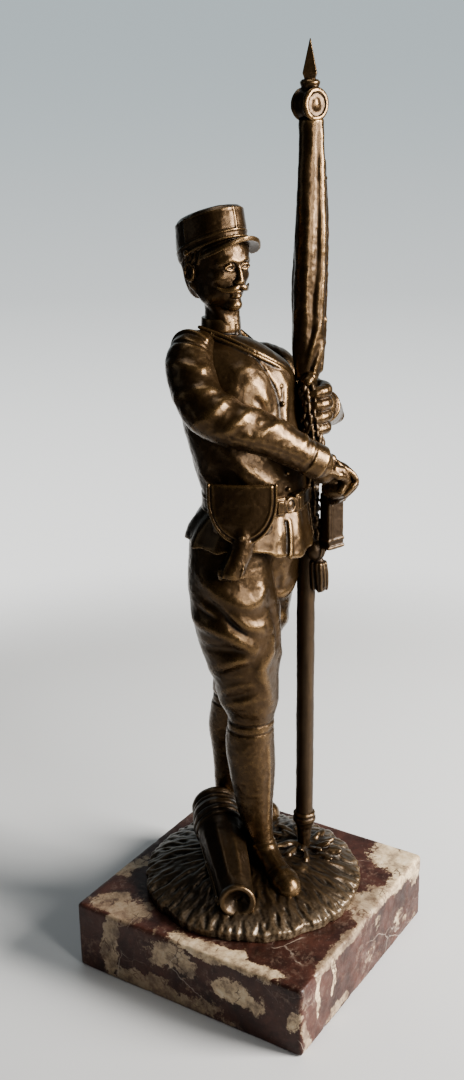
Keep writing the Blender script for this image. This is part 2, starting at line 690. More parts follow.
def makePiece(name, points, faces, material, node):
    points = toRow(points)
    mesh = bpy.data.meshes.new(name)
    mesh.vertices.add(len(points))
    mesh.vertices.foreach_set("co", points.astype(np.float32).ravel())
    sides = faces.shape[1]
    mesh.loops.add(faces.size)
    mesh.loops.foreach_set("vertex_index", faces.astype(np.int32).ravel())
    mesh.polygons.add(len(faces))
    mesh.polygons.foreach_set("loop_start", np.arange(0, faces.size, sides, dtype=np.int32))
    mesh.update(calc_edges=True)
    mesh.polygons.foreach_set("use_smooth", np.ones(len(faces), bool))
    normals = np.zeros(len(points) * 3, np.float32)
    mesh.vertices.foreach_get("normal", normals)
    mark = mesh.attributes.new("relief", "FLOAT", "POINT")
    mark.data.foreach_set("value", reliefOf(points, faces, normals.reshape(-1, 3)).astype(np.float32))
    mesh.materials.append(material)
    piece = bpy.data.objects.new(name, mesh)
    bpy.context.scene.collection.objects.link(piece)
    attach(piece, "root")
    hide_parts(node)
    return piece


fineStep, bodyStep = ((0.32, 0.5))
jobs = {}


def sculpt(node, material=None):
    # registers the function that shapes the piece of a CAD node
    def keepIt(shaper):
        jobs[node] = (shaper, material or bronze)
        return shaper
    return keepIt


# Legs: baggy breeches over gaiters
rightLeg = {
    "rows": ((-0.9, 8.6, 18, 11.6, 11.6), (-1.5, 7.4, 27, 11.6, 11.6), (-3.3, 5.7, 40.5, 16, 16),
             (-4, 5.1, 54.7, 19.4, 19.4), (-4.7, 4.5, 68.7, 22, 22), (-5, 4.2, 79, 22, 22),
             (-4.6, 4.6, 88.2, 21.2, 21.2), (-4.7, 4.4, 92, 22.6, 22.6), (-5.1, 4.0, 98, 26.6, 26.6),
             (-6.1, 3.2, 109, 29.2, 29.2), (-7.6, 1.8, 122.5, 35.2, 35.2), (-8.9, 0.7, 135.5, 38.2, 38),
             (-10.1, -0.4, 148, 38.2, 38), (-10.8, -1.1, 160, 37, 36.6), (-11, -1.3, 178, 34, 33.6)),
    "crests": ((((-95, 164), (-68, 158), (-52, 154.4), (-28, 150.7), (-6, 151.6), (9, 158.9)), 3.4, 2.0),
               (((-50, 147), (-39, 145.1), (-29, 141.5), (-15, 139.0), (0, 138.5)), 2.6, 1.3),
               (((-128, 141), (-102, 139.7), (-74, 138.9), (-50, 135.7), (-33, 131.1), (-13, 127.3)), 3.2, 1.9),
               (((-122, 112), (-100, 116.2), (-57, 122.7), (-35, 125.6), (-22, 130)), 3.4, 1.4),
               (((10, 135), (6, 126.4), (-8, 121), (-13, 116.5), (-2, 106.3), (6, 101)), 3.2, 1.7),
               (((-110, 103), (-80, 107), (-45, 112), (-20, 110)), 3.0, 0.7),
               (((-135, 97), (-90, 98.5), (-50, 102), (-18, 104), (15, 98)), 2.8, 0.7),
               (((40, 146), (60, 140), (85, 130), (110, 128)), 3, 1.4),
               (((35, 122), (60, 118), (90, 112), (130, 112)), 3, 1.4),
               (((150, 152), (175, 146), (-160, 146), (-135, 152)), 3, 1.5),
               (((130, 134), (165, 128), (-170, 127), (-140, 131)), 3.2, 1.6),
               (((120, 118), (160, 112), (-165, 111), (-130, 116)), 3, 1.5),
               (((110, 104), (150, 99), (-160, 99), (-120, 105)), 2.6, 1.4)),
    "creases": ((((-83, 152.4), (-62, 148.1), (-42, 140.0), (-26, 136.5)), 1.8, -1.5),
                (((-112, 128), (-98, 127.7), (-64, 128.9), (-39, 128.5), (-24, 124)), 2.4, -1.1),
                (((-83, 116.2), (-51, 119.2), (-32, 121.0), (-20, 118)), 2.2, -0.7),
                (((-85, 110.5), (-65, 112.5), (-35, 114.0), (-18, 112)), 1.8, -0.4),
                (((-92, 103), (-60, 105), (-30, 107.5)), 1.8, -0.4),
                (((-96, 147), (-84, 145), (-66, 143.6)), 1.4, -0.8),
                (((14, 150), (22, 136), (20, 124)), 2.2, -1.4)),
    "gaiter": ((88.6, 0.55, -0.9), (84.4, 0.5, -0.55), (22.5, 0.6, -0.5)),
}


def ringLine(rows, height, radius, amount, wave=0.0):
    spots = [(angle, height + wave * math.sin(math.radians(2 * angle + 40))) for angle in range(-180, 181, 15)]
    return ridge(surfacePath(rows, spots), radius, amount, fade=False, count=48)


def buttonRow(clay, rows, spots, radius, lift=0.1):
    for spot in surfacePath(rows, spots, lift):
        clay.add(egg(spot, (radius, radius, radius)), 0.15)


@sculpt("right_leg_casting")
def shapeRightLeg():
    rows = rightLeg["rows"]
    clay = clayAround(rows, 5, bodyStep)
    clay.add(stack(rows))
    clay.detail(*folds(rows, rightLeg["crests"] + rightLeg["creases"]), roughness(0.14, 6, 1), reach=4)
    seam = surfacePath(rows, [(178, 20), (178, 40), (176, 60), (174, 87)])
    clay.detail(*[ringLine(rows, z, r, a) for z, r, a in rightLeg["gaiter"]],
                ridge(seam, 0.5, -0.45, fade=False, count=12),
                roughness(0.08, 1.6, 2))
    clay.detail(ridge(surfacePath(rows, [(5, 82), (6, 60), (4, 40), (0, 28)]), 1.1, 0.5))
    return clay.bake()


leftLeg = {
    "rows": ((9.5, -28.6, 18, 11, 11), (9.5, -28, 30, 11.6, 11.6), (9.5, -27.5, 41, 13.4, 13.4),
             (9.5, -26.5, 54, 16, 16),
             (8.4, -25, 69, 19.4, 19.4), (9, -22.6, 80, 21, 21), (9.1, -21.4, 87, 20.6, 20.6),
             (9.2, -20.6, 92, 22, 22),
             (10, -15, 109, 27, 27), (10, -10, 127, 30.6, 30.6), (10.4, -5.6, 148, 32.6, 32.4),
             (11, -3, 162, 33, 32.6), (11, -2, 178, 32, 31.6)),
    "crests": ((((-14, 150), (-6, 146.4), (18, 147.5), (45, 156)), 3, 1.6),
               (((0, 136), (25, 130), (55, 129), (80, 134)), 3, 1.6),
               (((-6, 122), (20, 116), (50, 114), (90, 120)), 3, 1.5),
               (((-15, 107), (20, 103), (60, 102), (100, 108)), 2.8, 1.5),
               (((-20, 96.5), (20, 95), (70, 96.5), (120, 95), (170, 97)), 2.2, 1.2),
               (((100, 150), (130, 145), (160, 148)), 3, 1.4), (((110, 130), (145, 124), (180, 128)), 3, 1.5),
               (((115, 114), (150, 108), (-175, 111)), 3, 1.4),
               (((-150, 118), (-120, 112), (-90, 108)), 2.8, 1.3),
               (((-160, 102), (-120, 99), (-80, 101)), 2.4, 1.2)),
    "creases": ((((-10, 143.6), (6, 139), (22, 135.2)), 1.8, -1.4),
                (((-13, 156), (-13, 151.5), (-8, 146)), 1.6, -1.0),
                (((8, 124), (35, 121), (60, 122)), 1.6, -1.0)),
    "gaiter": ((88.4, 0.55, -0.9), (84.2, 0.5, -0.55), (22.5, 0.6, -0.5)),
}


@sculpt("left_leg_casting")
def shapeLeftLeg():
    rows = leftLeg["rows"]
    clay = clayAround(rows, 5, bodyStep)
    clay.add(stack(rows))
    clay.detail(*folds(rows, leftLeg["crests"] + leftLeg["creases"]), roughness(0.14, 6, 2), reach=4)
    clay.detail(*[ringLine(rows, z, r, a) for z, r, a in leftLeg["gaiter"]], roughness(0.08, 1.6, 3))
    buttonRow(clay, rows, [(100, z) for z in range(28, 84, 8)], 0.75)
    return clay.bake()


# Boots: each shaped along its own length, heel at the back
boots = {
    "right_boot": {"heel": (0.2, 2.2, 5.4), "turn": -13, "shaft": 0.0, "top": 18},
    "left_boot": {"heel": (4.0, -29.0, 5.0), "turn": 78, "shaft": 5.0, "top": 13},
    "length": 33,
    "sole": 7.4,
    "slope": 4.5,
}


def shapeBoot(node):
    spec = boots[node]
    clay = Clay((-10, -6, 5), (10, 38, 33), bodyStep * 0.8)
    ankle = boots["sole"]
    back, top = spec["shaft"], ankle + spec["top"]
    clay.add(tube(((0, back + 0.6, top, 6.5), (0, back + 1.2, 0.5 * (top + ankle + 6), 6.3),
                   (0, 0.4 * back + 2, ankle + 6, 6.0)), 6))
    clay.add(tube(((0, 1.4, ankle + 3.4, 5.9), (0, 6, ankle + 6.0, 6.2), (0, 12, ankle + 3.0, 5.6),
                   (0, 18.5, ankle + 0.8, 5.6),
                   (0, 24.4, ankle - 0.6, 6.0), (0, 27.4, ankle - 1.0, 5.6))), 1.5)
    wide = [(way * 2.2, y, ankle - 0.6, 3.6) for way in (-1, 1) for y in (19, 25)]
    clay.add(tube(wide[:2], 3), 2)
    clay.add(tube(wide[2:], 3), 2)
    cap = [(-6.6, 20.2, ankle + 0.4), (-4.2, 21.4, ankle + 4.0), (0, 22, ankle + 5.6),
           (4.2, 21.4, ankle + 4.0), (6.6, 20.2, ankle + 0.4)]
    # soft folds where the boot bends at the ankle
    bends = [ridge(((-6.4, y - 1.6, z - 3.6), (-3.6, y + 0.4, z - 0.8), (0, y + 1.2, z + 0.2),
                    (3.6, y + 0.4, z - 0.8),
                    (6.4, y - 1.6, z - 3.6)), radius, height)
             for y, z, radius, height in ((5.0, ankle + 15.6, 0.9, 0.9), (5.8, ankle + 12.6, 1.3, 1.2),
                                          (8.0, ankle + 10.0, 1.2, 1.0),
                                         (11.0, ankle + 8.0, 1.0, 0.6))]
    seam = ridge(((0, 12, ankle + 8.6), (0, 17, ankle + 6.8), (0, 22, ankle + 5.6)), 0.5, 0.35)
    clay.detail(*bends, seam, ridge(cap, 0.5, 0.4, fade=False, count=14), roughness(0.12, 2.4, 1))
    clay.keep(above(ankle - 2.2))
    edge = ankle - 0.9
    clay.add(tube(((0, -1.2, edge, 5.6), (0, 12, edge - 0.3, 5.2), (0, 25.0, edge, 7.0),
                   (0, 28.4, edge, 6.2)), 12))
    clay.keep(above(edge - 1.3), 0.5)
    points, faces = clay.bake()
    points[:, 2] += boots["slope"] * (boots["length"] - points[:, 1]) / boots["length"]
    return settle(points, spec["heel"], spec["turn"]), faces


for node in ("right_boot", "left_boot"):
    sculpt(node)(partial(shapeBoot, node))


# Tunic: skirt below the belt, chest above it
skirt = {
    "rows": ((-1, -1, 163.6, 60, 53), (-0.8, -0.8, 168, 58.6, 51.6), (-0.6, -0.6, 172, 57.4, 50.4),
             (0, 0, 180, 54, 46.4),
             (2.2, 1.2, 188, 48.8, 39), (2.5, 1.5, 191.5, 48, 38)),
    "hem": ((-180, 175), (-120, 175), (-86, 173.9), (-39, 174.0), (-24, 172.8), (-8, 170.6), (6, 168.4),
            (40, 169.5),
            (90, 173), (180, 175)),
    "pleats": ((-150, 5, 1.5), (-122, 6, 1.3), (-96, 5, 1.2), (-70, 5, 1.0), (-14, 5, 0.9), (16, 6, 1.2),
               (44, 6, 1.2),
               (74, 6, 1.3), (110, 6, 1.4), (145, 6, 1.5), (175, 6, 1.2)),
}


@sculpt("tunic_skirt")
def shapeSkirt():
    rows = skirt["rows"]
    clay = clayAround(rows, 5, bodyStep)
    clay.add(stack(rows))
    hem = np.array(skirt["hem"], float)

    def angleOf(p):
        return np.degrees(np.arctan2(p[0] - rows[1][0], p[1] - rows[1][1]))

    clay.keep(lambda p: np.interp(angleOf(p), hem[:, 0], hem[:, 1]).astype(np.float32) - p[2], 0.8)
    pushes = []
    for angle, radius, height in skirt["pleats"]:
        pushes.append(ridge(surfacePath(rows, [(angle * 0.94, 186), (angle, 178), (angle * 1.02, 170),
                                               (angle * 1.03, 164)]),
                            radius * 0.62, height, fade=False))
    piping = [(a, float(np.interp(a, hem[:, 0], hem[:, 1])) + 0.9) for a in range(-180, 181, 12)]
    vent = [(-2, 184), (-1, 176), (-3, 168)]
    pushes += [ridge(surfacePath(rows, piping), 0.7, 0.45, fade=False, count=80),
               ridge(surfacePath(rows, vent), 0.7, -1.5, fade=False),
               ridge(surfacePath(rows, [(a + 4.2, z) for a, z in vent]), 1.1, 0.8, fade=False),
               ridge(surfacePath(rows, [(-178, 186), (-178, 172)]), 0.7, -1.2, fade=False)]
    clay.detail(*pushes, roughness(0.2, 4.5, 3), reach=4)
    clay.carve(stack([(s, f, z - 1.2, w - 6, d - 6) for s, f, z, w, d in rows[:4]]))
    return clay.bake()


chest = {
    "rows": ((2.5, 1.5, 190, 48, 38), (0.8, -0.5, 206, 51, 41), (-0.5, -4, 222, 53, 43), (-1, -7, 238, 54, 42),
             (-1.5, -9, 249, 50, 37), (-2, -11, 256, 40, 29), (-2.6, -13.4, 260.4, 24, 20)),
    "collar": (-2.7, -14, 8.3),
    "cord": ((-86, 263.0), (-42, 259.8), (-6, 254.6), (19, 249.5), (37, 245.0), (60, 238)),
    "crests": ((((-43, 247.6), (-31, 248.6), (-18, 247.6)), 2.2, 0.8),
               (((-38, 243), (-21, 241.5), (-10, 236), (-8, 230)), 2.6, 1.1),
               (((26, 246), (24.5, 238.5), (20, 231.2), (14, 222), (8, 212)), 1.7, 1.2),
               (((-70, 222), (-52, 212), (-30, 203), (-14, 198)), 2.4, 1.3),
               (((-62, 212), (-45, 203), (-28, 197)), 2, 1.1),
               (((50, 235), (62, 222), (60, 208)), 3, 1.4), (((34, 225), (40, 212), (30, 200)), 2.4, 1.1),
               (((-95, 205), (-80, 200), (-60, 196)), 2, 1.0), (((95, 214), (80, 206), (55, 198)), 2.4, 1.2),
               (((150, 232), (140, 215), (120, 200)), 3.2, 1.5),
               (((-150, 232), (-142, 215), (-118, 202)), 3.2, 1.5),
               (((168, 212), (160, 203), (150, 195)), 2.6, 1.2),
               (((-166, 212), (-160, 203), (-150, 195)), 2.6, 1.2)),
    "creases": ((((-7, 254.2), (-2, 250.0), (5, 242.9), (9, 237.4), (10, 232.0), (7, 224)), 0.9, -1.1),
                (((25, 248.2), (25, 242.8), (19, 237.8), (14, 232.8)), 0.8, -0.8),
                (((-30, 240), (-17, 234), (-12, 228)), 1.6, -0.8),
                (((180, 256), (180, 225), (180, 195)), 0.6, -0.5)),
    "leftSlope": (259.5, 0.62),
}


@sculpt("tunic_casting")
def shapeChest():
    rows = chest["rows"]
    clay = clayAround(rows, 6, bodyStep)
    clay.add(stack(rows))
    side, front, radius = chest["collar"]
    # shoulders run out to the arms, the chest stands forward
    clay.add(egg((-13, -11, 249), (12.5, 11.5, 8.6)), 4)
    clay.add(egg((8, -12, 243), (13.5, 11.5, 8.6)), 4)
    clay.add(egg((-7, 2, 238), (13, 12, 13)), 5)
    clay.add(egg((8, 1, 237), (13, 12, 13)), 5)
    drop = chest["leftSlope"]
    clay.keep(lambda p: (p[2] - drop[0] + drop[1] * (p[0] - 2)) * 0.8 + 0 * p[1], 4)
    clay.detail(*folds(rows, chest["crests"]), roughness(0.2, 5, 2), reach=4)
    clay.detail(*folds(rows, chest["creases"]), roughness(0.08, 1.7, 3), reach=3)
    clay.add(lathe((side, front, 256), (side, front, 268),
                   ((0, radius + 1.6), (3, radius + 0.3), (11.4, radius - 0.2))), 0.7)
    clay.detail(ridge([(side + (radius + 0.2) * math.sin(a), front + (radius + 0.2) * math.cos(a),
                        260.2 + 0.5 * math.cos(a))
                       for a in np.linspace(-math.pi, math.pi, 24)], 0.55, -0.8, fade=False, count=50),
                ridge([(side + radius * math.sin(0.2), front + radius * math.cos(0.2), z)
                       for z in (259, 268)], 0.5, -0.9, fade=False))
    for gap in (-0.95, 0.95):
        line = surfacePath(rows, [(a, z + gap) for a, z in chest["cord"]], 1.3)
        clay.add(tube([(*spot, 0.85) for spot in line], 26), 0.3)
    # shoulder straps
    for way in (-1, 1):
        clay.add(tube(((side + way * 10, front + 1, 261.5 - 1.2 * (way + 1), 1.3),
                       (side + way * 15, front + 2, 260.6 - 3 * (way + 1), 1.5),
                       (side + way * 20, front + 2.6, 258.6 - 4.5 * (way + 1), 1.7)), 8), 0.6)
    buttonRow(clay, rows, [(17, 240), (14, 233), (10, 226), (6, 219), (4, 212), (3, 205), (2, 198)], 1.0, 0.9)
    return clay.bake()


# Arms
rightArm = {
    "rows": ((-15, -12, 255, 7.4), (-21, -10.6, 254.6, 9.0), (-25.6, -7.8, 251.4, 9.9),
             (-28.4, -3.0, 245, 10), (-30.0, 3, 238.4, 9.8),
             (-29.4, 8.6, 233.4, 9.9), (-22.5, 15.6, 228.6, 9.4), (-12, 22, 224, 8.7), (-2, 26.6, 217.8, 7.7),
             (5, 29.6, 212.8, 6.8), (9.6, 31.4, 210.0, 6.6)),
    "crests": ((((0.16, -80), (0.20, -40), (0.24, 0), (0.22, 50)), 2.2, 1.1),
               (((0.30, -110), (0.33, -60), (0.36, -10), (0.40, 40)), 2.3, 1.3),
               (((0.42, -120), (0.44, -70), (0.45, -20), (0.50, 30), (0.58, 60)), 2.2, 1.4),
               (((0.47, 150), (0.50, 110), (0.53, 75), (0.60, 40)), 2, 1.5),
               (((0.52, 160), (0.56, 120), (0.60, 85), (0.68, 50)), 2, 1.4),
               (((0.50, -110), (0.54, -70), (0.58, -25), (0.66, 5)), 2.3, 1.3),
               (((0.62, -100), (0.68, -60), (0.74, -20), (0.82, 0)), 2, 1.0),
               (((0.70, 110), (0.74, 60), (0.78, 20)), 1.8, 0.9),
               (((0.84, -90), (0.86, -40), (0.87, 10), (0.88, 60)), 1.3, 0.8),
               (((0.905, -100), (0.91, -40), (0.915, 20), (0.92, 70)), 1.2, 0.8)),
    "creases": ((((0.44, 150), (0.46, 110), (0.485, 80)), 1.2, -1.4),
                (((0.10, -90), (0.11, -40), (0.12, 10), (0.12, 60)), 0.7, -0.9),
                (((0.15, -120), (0.35, -118), (0.55, -112), (0.75, -108), (0.93, -108)), 0.45, -0.5)),
    "cuff": ((4.6, 29.4, 213.2, 7.2), (10.4, 31.8, 209.6, 7.5)),
}


@sculpt("right_arm_casting")
def shapeRightArm():
    rows = rightArm["rows"]
    clay = clayAround(rows, 5, bodyStep)
    clay.add(tube(rows, 30))
    clay.detail(*limbFolds(rows, rightArm["crests"]), roughness(0.2, 5, 0), reach=4)
    clay.detail(*limbFolds(rows, rightArm["creases"]), roughness(0.08, 1.7, 1))
    roll = [(*spot, 1.3) for spot in limbSpots(rows, [(0.075, a) for a in (-100, -70, -40, -10, 20, 50)])]
    clay.add(tube(roll, 16), 0.8)
    cuff = rightArm["cuff"]
    clay.add(lathe(cuff[0][:3], cuff[1][:3], ((0, cuff[0][3]), (0.5, cuff[0][3] + 0.3), (6.6, cuff[1][3]),
                                              (7.0, cuff[1][3] - 0.4))), 0.4)
    return clay.bake()


leftArm = {
    "upper": ((10, -13, 246, 7.4), (17, -12, 245, 8.8), (23, -10, 241.4, 9.6), (33, -6.6, 233.4, 9.2),
              (41.6, -3.2, 225.6, 8.4),
              (48.4, -1.6, 220.4, 6.6), (54.2, -0.6, 217.0, 3.6)),
    "fore": ((49, -1.4, 220.0, 6.2), (43.4, 2.6, 222.0, 7.4), (37.4, 7.8, 224.4, 7.0),
             (32.4, 11.6, 227.0, 6.3)),
    "crests": ((((0.2, 80), (0.25, 30), (0.30, -20)), 2.2, 1.1),
               (((0.40, 90), (0.46, 40), (0.50, -20)), 2.3, 1.3),
               (((0.58, 100), (0.64, 40), (0.68, -30)), 2.2, 1.3),
               (((0.76, 110), (0.80, 50), (0.84, -10)), 2, 1.2),
               (((0.50, 170), (0.60, 140), (0.72, 130)), 2.2, 1.2)),
    "cuff": ((36.4, 8.4, 224.8), (31.6, 12.4, 227.4)),
}


@sculpt("left_arm_casting")
def shapeLeftArm():
    clay = clayAround(leftArm["upper"] + leftArm["fore"], 5, bodyStep)
    clay.add(tube(leftArm["upper"], 20))
    clay.add(tube(leftArm["fore"], 10), 2.5)
    clay.detail(*limbFolds(leftArm["upper"], leftArm["crests"]), roughness(0.2, 4, 1), reach=4)
    clay.add(lathe(*leftArm["cuff"], ((0, 7.2), (0.5, 7.5), (5.6, 7.6), (6.2, 7.0))), 0.4)
    return clay.bake()


# Hands; the grip shift also moves the hilt under the right one
hands = {"leftShift": (-1.9, -1.7, 0), "gripShift": (-1.6, -1.4, 0)}


def finger(clay, points):
    # thicker at the middle joint
    clay.add(tube(points, 12), 0.5)
    joint = points[len(points) // 2]
    clay.add(egg(np.array(joint[:3]), (joint[3] * 1.08,) * 3), 0.4)


@sculpt("left_hand")
def shapeLeftHand():
    clay = Clay((12, 2, 211), (38, 26, 246), fineStep)
    clay.add(egg((28.6, 11.6, 229), (7.6, 6.6, 9.8), 20), 1)
    clay.add(tube(((33.5, 10.5, 227.5, 5.6), (30.5, 11.5, 228.6, 5.8)), 3), 2)
    for k, height in enumerate((219.6, 225.0, 230.4, 235.6)):
        reach = (0.0, 0.6, 0.8, 0.4)[k]
        finger(clay, ((31.6, 9.6, height + 0.6, 2.7), (32.4, 15.6, height + 0.3, 2.85),
                      (29.0, 19.4 + reach, height, 2.9),
                      (24.0, 19.8 + reach, height - 0.2, 2.75), (20.6, 17.0, height - 0.3, 2.5)))
    finger(clay, ((29.6, 8.6, 235.4, 3.0), (27.4, 12.6, 239.4, 2.9), (23.4, 16.4, 241.2, 2.6),
                  (20.6, 17.6, 240.2, 2.3)))
    clay.carve(tube(((26.4, 12.0, 205, 3.6), (26.6, 11.8, 250, 3.6)), 3))
    clay.detail(roughness(0.1, 1.6, 1))
    points, faces = clay.bake()
    return points + hands["leftShift"], faces


@sculpt("right_hand")
def shapeRightHand():
    clay = Clay((6, 23, 192), (31, 43, 216), fineStep)
    clay.add(egg((15.2, 33.0, 205.6), (6.6, 5.0, 4.9), 10, -16), 1)
    clay.add(tube(((9.6, 31.2, 208.6, 4.9), (14, 32.6, 206.2, 4.9)), 4), 2)
    for k, (side, front) in enumerate(((20.2, 29.4), (21.4, 32.2), (21.8, 35.0), (21.0, 37.6))):
        finger(clay, ((16.2, front - 0.6, 207.0, 2.2), (side, front, 205.2, 2.15),
                      (side + 1.5, front + 0.3, 200.8, 2.0),
                      (side - 1.0, front, 197.2, 1.8)))
    finger(clay, ((13.5, 36.0, 206.4, 2.2), (17.4, 38.2, 204.6, 2.1), (21.4, 38.6, 202.6, 1.8)))
    clay.detail(roughness(0.08, 1.4, 2))
    points, faces = clay.bake()
    return points + hands["gripShift"], faces


# Head, in its own side, front and up with the origin between the ears
headSpot = {"place": (-5.6, -15.0, 289), "turn": -1}
face = {
    "eyeSide": 4.0, "eyeUp": -0.7, "eyeFront": 11.9, "eyeRadius": 2.05,
    "noseUp": -6.2, "noseFront": 16.6, "mouthUp": -10.7, "chinUp": -16.2,
    "forward": 1.6,
}


@sculpt("head_casting")
def shapeHead():
    clay = Clay((-16, -18, -25), (16, 20, 18), fineStep)
    f = face
    clay.add(egg((0, -0.6, 3), (11.9, 14.6, 14.6)))
    clay.add(egg((0, 4.2, -6.4), (9.0, 9.8, 12.2)), 4)
    clay.add(egg((0, 6.4, 4.6), (10.2, 7.4, 8)), 3)
    for way in (-1, 1):
        clay.add(egg((way * 5.9, 8.6, -4.6), (3.3, 3.4, 2.8), way * 30), 2.2)
        clay.add(egg((way * 6.2, 2.2, -11.8), (2.8, 5.2, 3.8), way * 12), 3)
    clay.add(egg((0, 11.4, f["chinUp"]), (3.6, 3.2, 2.7)), 2.5)
    clay.add(tube(((-7.2, 11.0, 1.2, 1.2), (-4, 13.0, 2.2, 1.5), (0, 13.6, 1.6, 1.3), (4, 13.0, 2.2, 1.5),
                   (7.2, 11.0, 1.2, 1.2)), 14), 1.6)
    for way in (-1, 1):
        clay.carve(egg((way * f["eyeSide"], 15.0, f["eyeUp"]), (2.9, 3.0, 1.9)), 1.3)
        clay.add(egg((way * f["eyeSide"], f["eyeFront"] - 0.2, f["eyeUp"]), (f["eyeRadius"],) * 3), 0.2)
        for rise, bow, thick in ((0.35, 1.05, 0.52), (-0.35, -0.95, 0.42)):
            lid = [(way * (f["eyeSide"] + s), f["eyeFront"] + 1.95 - 0.11 * s * s,
                    f["eyeUp"] + rise * 0.2 + bow * (1 - (s / 2.5) ** 2), thick)
                   for s in (-2.4, -1.2, 0, 1.2, 2.4)]
            clay.add(tube(lid, 10), 0.35)
        clay.add(egg((way * 1.5, 14.4, f["noseUp"] - 0.3), (1.05, 1.7, 1.0)), 0.7)
        clay.carve(egg((way * 0.85, 15.1, f["noseUp"] - 1.5), (0.42, 0.6, 0.5)), 0.3)
    clay.add(tube(((0, 13.2, 1.0, 1.0), (0, 14.8, -2.4, 1.05),
                   (0, f["noseFront"] - 1.2, f["noseUp"], 1.4)), 10), 1.0)
    clay.add(tube(((-2.6, 12.9, f["mouthUp"], 0.7), (0, 14.0, f["mouthUp"] + 0.3, 0.85),
                   (2.6, 12.9, f["mouthUp"], 0.7)), 10), 0.5)
    clay.add(tube(((-2.2, 12.8, f["mouthUp"] - 1.5, 0.7), (0, 13.8, f["mouthUp"] - 1.6, 0.95),
                   (2.2, 12.8, f["mouthUp"] - 1.5, 0.7)), 10), 0.6)
    # neck with its two cords, and the ears
    clay.add(tube(((3, 2, -26, 7.2), (2.4, 0.6, -16, 6.9), (1, -1, -8, 7.4)), 8), 2.5)
    for way in (-1, 1):
        clay.add(tube(((way * 8.6, -3.4, -8, 2.4), (way * 5 + 2, 3.4, -17, 1.9),
                       (way * 2.4 + 3, 6.8, -24, 1.6)), 8), 1.8)
        clay.add(egg((way * 11.9, -1.6, -3), (1.3, 2.7, 4.0), way * 14), 0.6)
        clay.carve(egg((way * 13.2, -1.2, -2.6), (1.0, 1.5, 2.4)), 0.4)
        helix = [(way * (12.6 + 0.5 * math.sin(a)), -1.7 - 2.3 * math.sin(a), -2.8 + 3.3 * math.cos(a), 0.55)
                 for a in np.linspace(-0.7, 3.3, 9)]
        clay.add(tube(helix, 20), 0.3)
    # short hair at the sides and the nape, combed in strands
    hair = Clay((-16, -18, -25), (16, 20, 18), fineStep)
    hair.add(egg((0, -1.2, 2.4), (12.5, 14.9, 15)))
    hair.add(egg((1, -6.4, -7), (9.2, 8.6, 9.5)), 3)
    hair.keep(lambda p: p[1] - (1.5 + 0.55 * (p[2] + 3)) + 0 * p[0], 1.2)
    hair.carve(lambda p: np.sqrt(((p[1] - 0.2) / 1.0) ** 2 + (p[2] + 4.2) ** 2) - 5.2 + 0 * p[0], 0.6)
    hair.keep(above(-15), 1.5)

    def strands(p):
        return 0.32 * np.sin(4.4 * (np.arctan2(p[0], -p[1]) * 7 + 0.25 * p[2] + 0.8 * noise(p, 3.2, 3)))

    hair.detail(strands)
    clay.field = merge(clay.field, hair.field, 0.3)
    # moustache: two swept locks that taper to curled ends
    for way in (-1, 1):
        lock = ((way * 0.3, 14.7, -8.0, 0.9), (way * 2.4, 14.6, -8.9, 1.35), (way * 4.8, 13.2, -9.6, 1.15),
                (way * 6.8, 11.6, -9.4, 0.8),
                (way * 8.4, 10.6, -8.4, 0.45))
        clay.add(tube(lock, 18), 0.35)
        for k in (-1, 0, 1):
            clay.detail(ridge([(x, y + 0.9 * r, z + 0.62 * k * r) for x, y, z, r in lock], 0.22, 0.28,
                              count=18))
    for way in (-1, 1):
        clay.detail(ridge([(way * 2.0, 13.9, 2.0), (way * 4.4, 13.4, 2.9), (way * 6.8, 11.6, 2.2)], 0.7, 0.45))
    clay.detail(roughness(0.06, 1.1, 2))
    points, faces = clay.bake()
    points[:, 1] += face["forward"] * np.clip((points[:, 2] + 24) / 10, 0, 1)
    return settle(points, headSpot["place"], headSpot["turn"]), faces


kepi = {
    "low": 2.6, "lowSlope": 0.46, "high": 19.8, "highSlope": 0.34, "topBack": -2.4,
    "wide": (12.9, 13.1), "deep": (15.4, 14.6),
    "visorFront": 8.6, "visorRadius": 13.6, "visorUp": 9.0,
}


